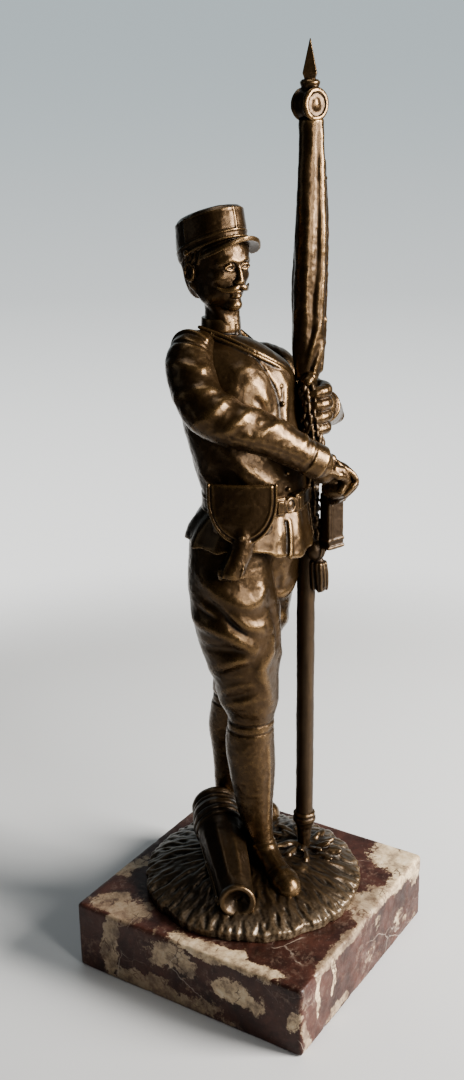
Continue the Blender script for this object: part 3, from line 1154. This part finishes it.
@sculpt("kepi")
def shapeKepi():
    k = kepi
    clay = Clay((-17, -20, -6), (17, 26, 29), fineStep)

    def share(p):
        low = k["low"] + k["lowSlope"] * p[1]
        high = k["high"] + k["highSlope"] * (p[1] - k["topBack"])
        return (p[2] - low) / (high - low) + 0 * p[0], high - low

    def crown(p):
        h, tall = share(p)
        h = np.clip(h, 0, 1)
        a = k["wide"][0] + (k["wide"][1] - k["wide"][0]) * h + 0.5 * np.sin(3.14 * h)
        b = k["deep"][0] + (k["deep"][1] - k["deep"][0]) * h + 0.5 * np.sin(3.14 * h)
        y = p[1] - k["topBack"] * h
        return (np.sqrt((p[0] / a) ** 2 + (y / b) ** 2) - 1) * a * 0.96

    def caps(p):
        h, tall = share(p)
        dish = 1.3 * np.maximum(1 - (p[0] ** 2 + (p[1] - k["topBack"]) ** 2) / 105, 0)
        return np.maximum(-h * tall, (h - 1) * tall + dish)

    clay.add(crown)
    clay.keep(caps, 4.0)

    def outline(h, lift):
        out = []
        for a in np.linspace(-math.pi, math.pi, 41):
            wide = k["wide"][0] + (k["wide"][1] - k["wide"][0]) * h + 0.5 * math.sin(3.14 * h) + lift
            deep = k["deep"][0] + (k["deep"][1] - k["deep"][0]) * h + 0.5 * math.sin(3.14 * h) + lift
            x, y = wide * math.sin(a), deep * math.cos(a) + k["topBack"] * h
            low = k["low"] + k["lowSlope"] * y
            high = k["high"] + k["highSlope"] * (y - k["topBack"])
            out.append((x, y, low + h * (high - low)))
        return out

    clay.detail(ridge(outline(0.30, 0), 0.42, 0.5, fade=False, count=90),
                ridge(outline(0.86, 0), 0.5, 0.3, fade=False, count=90),
                ridge(outline(0.03, 0), 0.5, 0.4, fade=False, count=90),
                ridge(outline(0.36, 0), 0.3, -0.25, fade=False, count=90),
                *[ridge([outline(h, 0)[i] for h in (0.34, 0.6, 0.95)], 0.42, 0.4, fade=False)
                  for i in (0, 10, 20, 30)],
                roughness(0.1, 3, 1))
    # chin cord with its side buttons over the visor
    cord = [(*spot, 0.55) for spot in outline(0.12, 0.5)[10:31]]
    clay.add(tube(cord, 40), 0.2)
    for i in (10, 30):
        clay.add(egg(outline(0.13, 0.6)[i], (1.3, 1.3, 1.3)), 0.2)

    def visor(p):
        away = np.sqrt((p[0] * 0.98) ** 2 + (p[1] - k["visorFront"]) ** 2) - k["visorRadius"]
        rise = k["visorUp"] - 0.024 * p[0] ** 2 + 0.20 * (p[1] - 12)
        return np.maximum(np.maximum(away, np.abs(p[2] - rise) - 0.85), 8.0 - p[1])

    clay.add(visor, 0.5)
    edge = [(k["visorRadius"] * math.sin(a), k["visorFront"] + k["visorRadius"] * math.cos(a))
            for a in np.linspace(-1.45, 1.45, 19)]
    clay.detail(ridge([(x * 0.95, y - 0.6, k["visorUp"] + 0.85 - 0.024 * x * x + 0.20 * (y - 12)) for x,
                       y in edge], 0.5, 0.35, fade=False, count=50))
    points, faces = clay.bake()
    return settle(points, headSpot["place"], headSpot["turn"]), faces


# Belt and buckle
belt = {"centre": (2.5, 1.5), "half": (25.5, 20.5), "low": 187.6, "high": 195}


@sculpt("waist_belt")
def shapeBelt():
    cx, cy = belt["centre"]
    clay = Clay((cx - 30, cy - 25, 183), (cx + 30, cy + 25, 198), bodyStep * 0.8)
    rows = [(cx, cy, z, 2 * belt["half"][0], 2 * belt["half"][1]) for z in (belt["low"], 190, belt["high"])]
    clay.add(stack(rows, rounding=0.8))
    clay.detail(ringLine(rows, belt["low"] + 0.8, 0.5, 0.5, 0.2),
                ringLine(rows, belt["high"] - 0.8, 0.5, 0.5, 0.2), roughness(0.12, 2.2, 2))
    clay.carve(stack([(s, f, z, w - 5, d - 5) for s, f, z, w, d in rows], rounding=0.2))
    return clay.bake()


@sculpt("belt_buckle")
def shapeBuckle():
    clay = Clay((-12, -3, -7), (12, 5, 7), fineStep)
    for way in (-1, 1):
        clay.add(block((way * 5.9, 0, 0), (2.9, 1.5, 4.2), way * 16, edge=0.5))
        clay.add(block((way * 5.7, 1.1, 0), (1.6, 1.2, 2.9), way * 16, edge=0.5), 0.2)
        clay.add(tube(((way * 3.4, 1.2, 3.3, 0.7), (way * 3.4, 1.2, -3.3, 0.7)), 3), 0.2)
    ring = [(2.7 * math.sin(a), 1.4, 2.9 * math.cos(a), 0.9) for a in np.linspace(0, 2 * math.pi, 17)]
    clay.add(tube(ring, 30), 0.2)
    clay.add(egg((0, 0.9, 0), (2.0, 1.2, 2.2)), 0.3)
    clay.detail(roughness(0.06, 1.2, 1))
    points, faces = clay.bake()
    return settle(points, (belt["centre"][0] - 1.2, belt["centre"][1] + belt["half"][1], 191.8)), faces


# Holster: half-round flap with double piping over a tapering case
holster = {"place": (-18.0, 15.0, 189), "turn": -46, "bow": 0.012}


@sculpt("holster")
def shapeHolster():
    clay = Clay((-19, -9, -39), (19, 15, 19), fineStep * 1.15)
    # the case: pouch above, tail below
    clay.add(block((0, 0, 2), (12.6, 4.6, 9.5), edge=3.4))
    clay.add(tube(((0.5, -0.6, 4, 5.6), (-0.2, 2.4, -11, 5.2), (-3.0, 4.4, -19, 4.9),
                   (-4.6, 5.2, -22, 4.8)), 10), 2)
    clay.add(block((-4.6, 5.4, -22.6), (5.6, 2.6, 2.6), 0, -10, 6, edge=1.2), 1.2)

    def flap(p):
        wide = np.sqrt((p[0] / 14.6) ** 2 + (np.minimum(p[2] - 8.5, 0) / 19.5) ** 2) - 1
        side = np.maximum(wide * 14, p[2] - 15)
        curve = 4.9 - holster["bow"] * p[0] ** 2 - 0.006 * np.maximum(-p[2], 0) ** 2
        return -merge(-side, -(np.abs(p[1] - curve) - 1.3), 1.0)

    clay.add(flap, 0.4)

    def rim(scale, up):
        out = [(-14.6 * scale, 15 * up), (-14.6 * scale, 8.5)]
        out += [(14.6 * scale * math.sin(a), 8.5 - 19.5 * scale * math.cos(a))
                for a in np.linspace(-1.5, 1.5, 17)]
        out += [(14.6 * scale, 8.5), (14.6 * scale, 15 * up)]
        return [(x, 6.2 - holster["bow"] * x * x - 0.006 * max(-z, 0) ** 2, z) for x, z in out]

    clay.detail(ridge(rim(0.95, 1), 0.62, 0.75, fade=False, count=60),
                ridge(rim(0.83, 0.92), 0.5, 0.6, fade=False, count=60),
                ridge(rim(0.89, 0.96), 0.4, -0.3, fade=False, count=60), roughness(0.12, 3, 1))
    clay.detail(*[ridge([(x + s, y, z) for s, y,
                         z in ((0, 7.4, -12), (-1.4, 8.2, -16), (-2.8, 8.8, -20), (-3.8, 9.0, -24))], 0.6,
                        0.6, fade=False) for x in (-4.2, 3.4)],
                ridge([(-10, 8.0, -23.4), (-5, 8.6, -24), (0, 8.0, -24)], 0.8, 0.5))
    clay.add(egg((0, 6.4, -7.4), (1.5, 1.1, 1.5)), 0.2)
    points, faces = clay.bake()
    return settle(points, holster["place"], holster["turn"]), faces


# Sabre hilt under the right hand, and the scabbard's locket below it
@sculpt("sabre_hilt")
def shapeHilt():
    clay = Clay((8, 22, 184), (34, 46, 217), fineStep)
    clay.add(egg((17.6, 33.6, 210.6), (2.5, 2.5, 2.2)))
    clay.add(tube(((17.6, 33.6, 210, 2.3), (19, 33, 204, 2.9), (21.5, 32, 197, 2.9)), 8), 0.6)
    ribs = []
    for k in range(7):
        lean = 0.42 * (k - 3)
        rib = ((18.4 + 0.2 * k, 35.4 + lean, 209.4 - 0.5 * abs(k - 3), 1.15),
               (23.6 + 0.2 * k, 36.8 + lean * 2.2, 205.6 - 0.6 * abs(k - 3), 1.3),
               (26.4, 36.4 + lean * 2.8, 199.0, 1.3), (24.6, 33.6 + lean * 1.6, 193.2, 1.2))
        ribs.append(rib)
        clay.add(tube(rib, 14), 0.35)
    clay.add(egg((22.4, 32.4, 196.4), (5.8, 6.4, 4.4), 10, 12), 1.2)
    clay.add(tube(((27.2, 36.6, 199.4, 1.0), (26.8, 39.6, 200.6, 1.2), (24.4, 40.2, 198.8, 1.3),
                   (22.0, 38.0, 195.6, 1.4)), 12), 0.4)
    clay.add(tube(((24.4, 33.2, 193.4, 2.4), (25.8, 30.0, 190.8, 2.2), (27.4, 25.6, 188.6, 2.2)), 6), 0.8)
    clay.detail(roughness(0.07, 1.3, 3))
    points, faces = clay.bake()
    return points + hands["gripShift"], faces


@sculpt("scabbard_locket", bronzeStaff)
def shapeLocket():
    clay = Clay((20, 13, 161), (38, 30, 201), fineStep)
    clay.add(block((28.6, 21.5, 178.5), (4.4, 3.1, 12.8), -6, 0, 1, edge=0.9))
    for height, wide in ((167.0, 0.5), (170.2, 0.3), (187.6, 0.5)):
        clay.add(block((28.7 - 0.02 * (180 - height), 21.5, height), (4.4 + wide, 3.1 + wide, 0.75), -6, 0,
                       1, edge=0.5), 0.15)
    clay.add(tube(((28.8, 21.6, 190, 3.0), (27.8, 24.4, 194, 2.6)), 4), 1)
    for side in (25.9, 31.4):
        clay.detail(ridge([(side, 24.6, z) for z in (171, 178, 186)], 0.45, 0.35, fade=False))
    clay.detail(roughness(0.08, 1.6, 1))
    return clay.bake()


# Staff and its fittings; the staff leans a little
staff = {"foot": (23.6, 11), "leanSide": 0.3, "leanBack": 0.27, "low": 24, "high": 343.5, "radii": (4.1, 4.0)}


def onStaff(height):
    side, front = staff["foot"]
    return (side + height * math.tan(math.radians(staff["leanSide"])),
            front - height * math.tan(math.radians(staff["leanBack"])), height)


@sculpt("flag_staff", bronzeStaff)
def shapeStaff():
    low, high = onStaff(staff["low"]), onStaff(staff["high"])
    long = staff["high"] - staff["low"]
    clay = Clay((low[0] - 6, high[1] - 6, 24), (high[0] + 6, low[1] + 6, 346), bodyStep * 0.9)
    clay.add(lathe(low, high, ((0, staff["radii"][0]), (long, staff["radii"][1]))))
    clay.detail(roughness(0.10, 5, 2), lambda p: 0.05 * noise((p[0], p[1], p[2] * 0.12), 1.2, 1))
    return clay.bake()


@sculpt("staff_ferrule", bronzeStaff)
def shapeFerrule():
    clay = Clay((15, 3, 8), (33, 20, 36), fineStep * 1.2)
    clay.add(lathe(onStaff(10.5), onStaff(32), ((0, 2.4), (6, 3.0), (12, 3.6), (15.5, 4.6), (16.4, 5.3),
                                                (18, 5.4), (18.6, 4.9), (20, 5.2), (21, 4.5))))
    clay.detail(roughness(0.16, 2, 2))
    return clay.bake()


@sculpt("cartouche")
def shapeCartouche():
    clay = Clay((15, 0, 341), (35, 21, 361), fineStep)
    centre = np.array(onStaff(349.8))
    facing = np.array([math.sin(math.radians(-4)), math.cos(math.radians(-4)), 0])
    clay.add(lathe(centre - 4.6 * facing, centre + 4.6 * facing,
                   ((0, 5.7), (0.5, 6.5), (1.5, 6.6), (2.2, 6.0), (7.0, 6.0), (7.7, 6.6), (8.7, 6.5),
                    (9.2, 5.7))), 0.2)
    for way in (-1, 1):
        clay.carve(lathe(centre + way * 4.0 * facing, centre + way * 6 * facing, ((0, 4.4), (2, 5.0))), 0.4)
        clay.add(egg(centre + way * 3.4 * facing, (2.6, 1.3, 3.0)), 0.3)
    clay.add(lathe(onStaff(342.6), onStaff(359.6),
                   ((0, 3.6), (1.0, 3.9), (2, 3.2), (13, 3.2), (14.6, 3.9), (15.6, 4.1), (16.6, 3.2))), 0.4)
    clay.detail(roughness(0.08, 1.6, 1))
    return clay.bake()


@sculpt("spear_finial")
def shapeSpear():
    clay = Clay((17, 1, 355), (32, 18, 378), fineStep * 0.8)
    cx, cy, base = onStaff(357.0)

    def blade(p):
        x, y = np.abs(p[0] - cx) + 0 * p[2], np.abs(p[1] - cy)
        half = np.interp(p[2], (base, base + 2.0, base + 4.4, base + 17.6),
                         (2.3, 3.0, 4.3, 0.15)).astype(np.float32)
        return np.maximum((x + 1.15 * y - half) * 0.7, np.maximum(base - p[2], p[2] - base - 17.4))

    clay.add(blade)
    clay.add(lathe(onStaff(356.4), onStaff(360), ((0, 3.4), (1, 3.5), (1.6, 2.6), (3, 2.4))), 0.5)
    return clay.bake()


# Furled flag: a few long folds of cloth laid round the staff; offsets run across and behind the staff
flag = {
    "low": 240, "high": 344.5,
    "across": (0.743, 0.669), "behind": (0.669, -0.743),
    "folds": (
        ((346, -0.4, -0.6, 3.8), (330, -1.0, -1.2, 4.2), (312, -1.3, -1.6, 4.6), (292, -1.8, -1.8, 4.9),
         (272, -2.4, -1.6, 4.7),
         (256, -2.8, -1.4, 4.6), (240, -2.4, -1.2, 3.9)),
        ((346, 2.2, -0.8, 2.4), (326, 2.9, -1.4, 2.8), (308, 3.4, -1.7, 3.0), (288, 3.3, -1.9, 3.1),
         (270, 2.6, -2.2, 3.2),
         (256, 2.0, -2.2, 3.2), (244, 1.2, -1.8, 2.8), (238, 0.8, -1.6, 2.4)),
        ((344, 0, 2.6, 3.4), (310, 0.6, 3.2, 4.4), (280, -0.4, 3.0, 4.6), (250, -0.6, 2.6, 4.2),
         (238, -0.6, 2.2, 3.4)),
        ((328, 4.4, 1.2, 1.8), (310, 5.2, 1.0, 2.0), (290, 5.3, 0.6, 2.1), (274, 4.8, 0.4, 2.2),
         (258, 4.6, 0.2, 2.2), (244, 3.8, 0.4, 2.0)),
        ((300, -4.6, 0.8, 1.8), (284, -5.2, 0.6, 2.3), (266, -5.3, 0.4, 2.4), (250, -4.9, 0.6, 2.2),
         (239, -3.6, 0.6, 1.8)),
        ((276, 5.0, -1.2, 1.0), (264, 3.4, -3.6, 1.6), (252, 0.2, -4.6, 1.7), (242, -2.2, -4.0, 1.2)),
        ((262, 5.0, -0.8, 1.2), (252, 3.6, -3.2, 1.7), (243, 1.2, -4.2, 1.6))),
    "seed": 5,
}


@sculpt("furled_flag")
def shapeFlag():
    clay = Clay((13, 1, 234), (39, 25, 348), bodyStep * 0.85)
    rng = np.random.default_rng(flag["seed"])
    (ax, ay), (bx, by) = flag["across"], flag["behind"]

    def spot(z, across, behind):
        x, y, _ = onStaff(z)
        return x + 0.5 + across * ax + behind * bx, y + 0.6 + across * ay + behind * by, z

    clay.add(lathe(onStaff(238), onStaff(345), ((0, 5.0), (107, 4.3))))
    for rows in flag["folds"]:
        clay.add(tube([(*spot(z, across, behind), radius) for z, across, behind, radius in rows], 30), 0.8)
    clay.keep(above(flag["low"]), 1.2)
    clay.keep(below(flag["high"]), 1.2)
    clay.detail(lambda p: 0.35 * noise((p[0], p[1], p[2] * 0.22), 2.6, 2), roughness(0.14, 3.2, 1), reach=3)
    # ragged fringe down the outer edge
    for z in np.arange(256, 326, 1.15):
        drop, out = rng.uniform(-0.4, 1.6), rng.uniform(0.3, 1.5)
        x, y, _ = spot(z, 5.2 - 0.02 * abs(z - 285), rng.uniform(-0.9, 0.9))
        clay.add(tube(((x - 0.6 * ax, y - 0.6 * ay, z, 1.3), (x + out * ax, y + out * ay, z - drop, 0.75)),
                      3), 0.9)
    return clay.bake()


# Gold fringe and tassel that hang below the hand
fringe = {
    "line": ((19.8, 14.4, 240, 3.8), (20.4, 15.4, 226, 4.3), (22.0, 16.4, 213, 4.2),
             (23.6, 12.6, 200, 3.8), (24.6, 11.8, 184, 3.8),
             (24.6, 14.0, 171, 4.6)),
    "shell": (24.9, 15.6, 164.5),
    "tassel": ((25.8, 16.6, 158, 3.2), (26.4, 16.8, 152, 3.5), (27.0, 16.6, 146.4, 3.2)),
    "seed": 11,
}


@sculpt("flag_fringe", bronzeStaff)
def shapeFringe():
    clay = Clay((11, 6, 141), (36, 28, 246), fineStep * 1.25)
    rng = np.random.default_rng(fringe["seed"])
    clay.add(tube([(x, y, z, r * 0.78) for x, y, z, r in fringe["line"]], 24))
    line = curveThrough(fringe["line"], 46)
    for k, (x, y, z, r) in enumerate(line[1:-1]):
        for way in (-1, -0.3, 0.4, 1):
            a = math.radians(rng.uniform(30, 75)) * way - 0.5
            dx, dy = math.sin(a), math.cos(a)
            z2 = z + rng.uniform(-1.2, 1.2)
            clay.add(tube(((x + 0.5 * r * dx, y + 0.5 * r * dy, z2 + 0.6, 0.8),
                           (x + 0.95 * r * dx, y + 0.95 * r * dy, z2 - 0.2, 0.95),
                           (x + 1.1 * r * dx, y + 1.1 * r * dy, z2 - 2.0, 0.6)), 4), 0.25)
    cx, cy, cz = fringe["shell"]
    clay.add(egg((cx, cy, cz), (5.0, 4.0, 5.2)), 1)
    clay.detail(*[ridge(((cx + 0.5 * s, cy + 4.2, cz + 5), (cx + 1.1 * s, cy + 4.6, cz),
                         (cx + 1.5 * s, cy + 3.6, cz - 5)), 0.6, 0.9)
                  for s in (-3.6, -2.2, -0.8, 0.6, 2.0, 3.4)])
    clay.add(tube([(x, y, z, r * 0.8) for x, y, z, r in fringe["tassel"]], 8), 1)
    for k in range(11):
        a = 2 * math.pi * (k + rng.uniform(-0.3, 0.3)) / 11
        sway, drop = rng.uniform(-0.8, 0.8), rng.uniform(-1.6, 1.8)
        strand = [(x + r * math.cos(a + 0.1 * sway * j) * 0.9 + sway * j * 0.4, y + r * math.sin(a) * 0.9,
                   z + drop * j * 0.5, 1.0 - 0.12 * j)
                  for j, (x, y, z, r) in enumerate(fringe["tassel"])]
        clay.add(tube(strand, 8), 0.2)
    clay.detail(roughness(0.12, 1.4, 1))
    return clay.bake()


# Gun barrel on the ground
barrel = {"breech": (-3.8, -20.6, 25.6), "muzzle": (-32.6, 25.6, 13.4), "mouth": (-0.64, 0.75, 0.06)}
barrelLine = np.array(barrel["muzzle"]) - barrel["breech"]
barrelLong = float(np.linalg.norm(barrelLine))
barrelWay = barrelLine / barrelLong


def onBarrel(distance, side=0.0, up=0.0):
    across = np.cross(barrelWay, (0, 0, 1.0))
    across /= np.linalg.norm(across)
    over = np.cross(across, barrelWay)
    return np.array(barrel["breech"]) + distance * barrelWay + side * across + up * over


@sculpt("gun_barrel", bronzeDark)
def shapeBarrel():
    clay = Clay((-46, -44, 0), (18, 38, 45), bodyStep * 0.85)
    long = barrelLong
    clay.add(lathe(onBarrel(-1), onBarrel(long), (
        (-9.4, 9.0), (-8.6, 10.6), (-6.6, 11.3), (-5.2, 10.9), (-4.4, 10.4), (-3.4, 11.2), (-2.2, 11.4),
                                                  (-1.6, 10.9), (-0.6, 11.6), (1.6, 12.2), (3.2, 12.0),
                                                  (4.0, 11.5), (5.0, 12.3),
        (7.0, 12.5), (8.0, 12.2), (8.4, 11.7), (9.0, 12.1), (10.6, 12.0), (11.4, 11.3), (20, 10.4),
                                                  (long - 8, 8.2), (long - 2.6, 7.6))))
    mouth = np.array(barrel["mouth"]) / np.linalg.norm(barrel["mouth"])
    inner = onBarrel(long - 3.6)
    clay.add(lathe(inner, inner + 4 * mouth, ((0, 7.2), (0.8, 7.5), (1.4, 8.1), (3.2, 8.2), (4.0, 7.6))), 0.5)
    clay.carve(egg(inner + 6.6 * mouth, (6.3, 6.3, 6.3)), 0.8)
    # hinge lug and handle on the breech
    clay.add(tube([(*onBarrel(9, 8.5, 3), 3.6), (*onBarrel(15, 9.2, 2.4), 3.8),
                   (*onBarrel(20, 8.4, 1.8), 2.8)], 8), 1.5)
    facets = [ridge([onBarrel(d, (10.8 - 0.055 * d) * math.sin(a), (10.8 - 0.055 * d) * math.cos(a))
                     for d in (13, 30, 47)], 1.3, 0.9)
              for a in (-1.0, -0.35, 0.35, 1.05)]
    clay.detail(*facets, roughness(0.16, 4.2, 1), roughness(0.06, 1.1, 2))
    clay.keep(above(0.6))
    return clay.bake()


@sculpt("rammer_rod", bronzeDark)
def shapeRammer():
    clay = Clay((-46, -32, 2), (6, 32, 36), bodyStep * 0.8)
    a, b = onBarrel(4, -10.4, -1.0), onBarrel(barrelLong - 1, -8.4, -1.0)
    clay.add(lathe(a, b, ((0, 1.0), (barrelLong - 6, 1.0))))
    for share in (0.12, 0.5, 0.92):
        clay.add(egg(a + share * (b - a), (1.6, 1.6, 1.6)), 0.5)
    return clay.bake()


# Ground: a dome with tufts of grass that fan out and hang over the rim
mound = {
    "rim": 50.2, "top": 16, "dome": 112, "wall": 4.6, "bossRadius": 8, "studRadius": 3.1,
    "grassRows": ((10, 24, 40, 0.9, 0), (17, 36, 62, 1.05, 0), (25, 51, 104, 1.15, 1), (33, 51, 112, 1.1, 1)),
    "leaves": {"middle": (24.5, 10.5), "rings": ((7, 7.2, 22), (10, 12.6, 6)), "reach": (1.9, 5.4, 1.2)},
    "clods": (((15, 10, 13.4), (3.6, 4, 2.4), 20), ((33, 21, 9.8), (3.4, 4.4, 2), 30),
              ((8, 24, 13), (4, 3, 1.6), 0)),
    "seed": 2,
}


def groundHeight(radius):
    return mound["top"] - mound["dome"] + math.sqrt(max(mound["dome"] ** 2 - radius ** 2, 0))


@sculpt("mound_casting", bronzeDark)
def shapeMound():
    clay = Clay((-54, -54, -1.5), (54, 54, 24), 0.58)
    rng = np.random.default_rng(mound["seed"])
    m = mound

    def wavyRim(p, less=0.0):
        a = np.arctan2(p[1], p[0])
        away = np.sqrt(p[0] ** 2 + p[1] ** 2) - (m["rim"] - less)
        return away - 0.5 * np.sin(9 * a + 1) - 0.35 * np.sin(23 * a)

    def dome(p, less=0.0):
        return np.sqrt(p[0] ** 2 + p[1] ** 2 + (p[2] - m["top"] + m["dome"]) ** 2) - (m["dome"] - less)

    clay.add(lambda p: np.maximum(wavyRim(p), dome(p)))
    clay.keep(above(0.15))
    # earth heaped about the boots, the barrel and the staff
    for spot, radii, turned in m["clods"]:
        clay.add(egg(spot, radii, turned, 14), 2.2)
    # pointed leaves in two rings about the foot of the staff
    side, front = m["leaves"]["middle"]
    across, along, thick = m["leaves"]["reach"]
    for count, away, rise in m["leaves"]["rings"]:
        for k in range(count):
            turned = 360 * (k + rng.uniform(-0.25, 0.25)) / count
            x, y = side + away * math.sin(math.radians(turned)), front + away * math.cos(math.radians(turned))
            z = groundHeight(math.hypot(x, y)) + 1.1
            clay.add(egg((x, y, z), (across * rng.uniform(0.8, 1.2), along * rng.uniform(0.8, 1.15),
                                     thick), turned, rise), 0.7)
    pushes = []
    for near, far, count, thick, hangs in m["grassRows"]:
        for k in range(count):
            a = 2 * math.pi * (k + rng.uniform(-0.25, 0.25)) / count
            bend, start = rng.uniform(-0.09, 0.09), near + rng.uniform(-3, 3)
            path = []
            for share in (0, 0.2, 0.4, 0.6, 0.8, 1):
                radius = min(start + share * (far - start), m["rim"] + 0.2)
                angle = a + bend * share + 0.035 * math.sin(7 * share + 1.3 * k)
                path.append((radius * math.cos(angle), radius * math.sin(angle),
                             groundHeight(min(radius, m["rim"] - 0.5)) + 0.2))
            if hangs:
                path += [(path[-1][0], path[-1][1], z) for z in (3.6, rng.uniform(0.2, 1.5))]
            pushes.append(ridge(path, thick * 0.8, rng.uniform(0.8, 1.75) * thick, count=10))
    clay.detail(*pushes, roughness(0.3, 3.2, 1), roughness(0.12, 1.3, 2), reach=3.2)
    hollow = Clay((-54, -54, -1.5), (54, 54, 24), clay.step)
    hollow.add(lambda p: np.maximum(wavyRim(p, m["wall"]), dome(p, m["wall"])))
    hollow.carve(lathe((0, 0, -2), (0, 0, 20), ((0, m["bossRadius"]), (22, m["bossRadius"]))))
    clay.field = np.maximum(clay.field, -hollow.field)
    clay.carve(lathe((0, 0, -3), (0, 0, 8), ((0, m["studRadius"]), (11, m["studRadius"]))))
    return clay.bake()


# Marble plinth, in the row's own axes: worn edges, hole for the stud and a pocket for the nut below
plinth = {"half": 60, "tall": 34, "ease": 1.7, "studHole": 3.4, "pocket": 12, "pocketDeep": 11,
          "locator": (0, 32, 1.55)}


def shapePlinth():
    clay = Clay((-61.5, -61.5, -1.5), (61.5, 61.5, 35.5), 0.8)
    spec = plinth
    clay.add(block((0, 0, spec["tall"] / 2), (spec["half"], spec["half"], spec["tall"] / 2), edge=spec["ease"]))
    x, y, z = clay.grid
    toEdge = [np.maximum(spec["half"] - np.abs(x), 0), np.maximum(spec["half"] - np.abs(y), 0),
              np.minimum(np.maximum(spec["tall"] - z, 0), np.maximum(z, 0))]
    near = np.minimum(np.minimum(toEdge[0] + toEdge[1], toEdge[0] + toEdge[2]), toEdge[1] + toEdge[2])
    where = np.nonzero((near < 5) & (np.abs(clay.field) < 3))
    spot = tuple(clay.grid[k].reshape(-1)[where[k]] for k in range(3))
    large = np.maximum(noise(spot, 4.2, 1) - 0.35, 0) * 2.2
    small = np.maximum(noise(spot, 1.6, 2) - 0.45, 0) * 0.9
    chips = large + small + 0.15 * np.abs(noise(spot, 9, 3))
    clay.field[where] += chips * np.clip(1 - near[where] / 5, 0, 1) ** 2
    clay.carve(lathe((0, 0, -2), (0, 0, 36), ((0, spec["studHole"]), (38, spec["studHole"]))))
    clay.carve(lathe((0, 0, -2), (0, 0, spec["pocketDeep"]), ((0, spec["pocket"]), (13, spec["pocket"]))))
    clay.carve(lathe((*spec["locator"][:2], 26), (*spec["locator"][:2], 36),
                     ((0, spec["locator"][2]), (10, spec["locator"][2]))))
    return clay.bake()


def runJob(item):
    node, (shaper, material) = item
    return node, shaper(), material


with ThreadPoolExecutor(4) as pool:
    shaped = list(pool.map(runJob, jobs.items()))
for node, (points, faces), material in shaped:
    made = makePiece(node + "_cast", points, faces, material, node)
    print("shaped", node, len(points))

points, faces = shapePlinth()
# the plinth is already in the row's axes, so it is turned back into the figure's before it is made
flat = points - (figureFrame["originX"], figureFrame["originY"], 0)
points = np.column_stack([flat @ leftAxis, flat @ frontAxis, points[:, 2] - marbleTop])
makePiece("marble_plinth_stone", points, faces[:, ::-1], marble, "marble_plinth")
print("shaped marble_plinth", len(points))

# the fixings inside keep the shape they have in the frame
hiddenFixings = ("fixing_stud", "fixing_washer", "fixing_nut", "locating_pin", "foot_pins", "body_pins",
                 "arm_pins", "neck_pin")
for name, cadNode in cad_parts.items():
    if name in hiddenFixings:
        cadNode.data.materials.clear()
        cadNode.data.materials.append(steel)

print("sizes written")
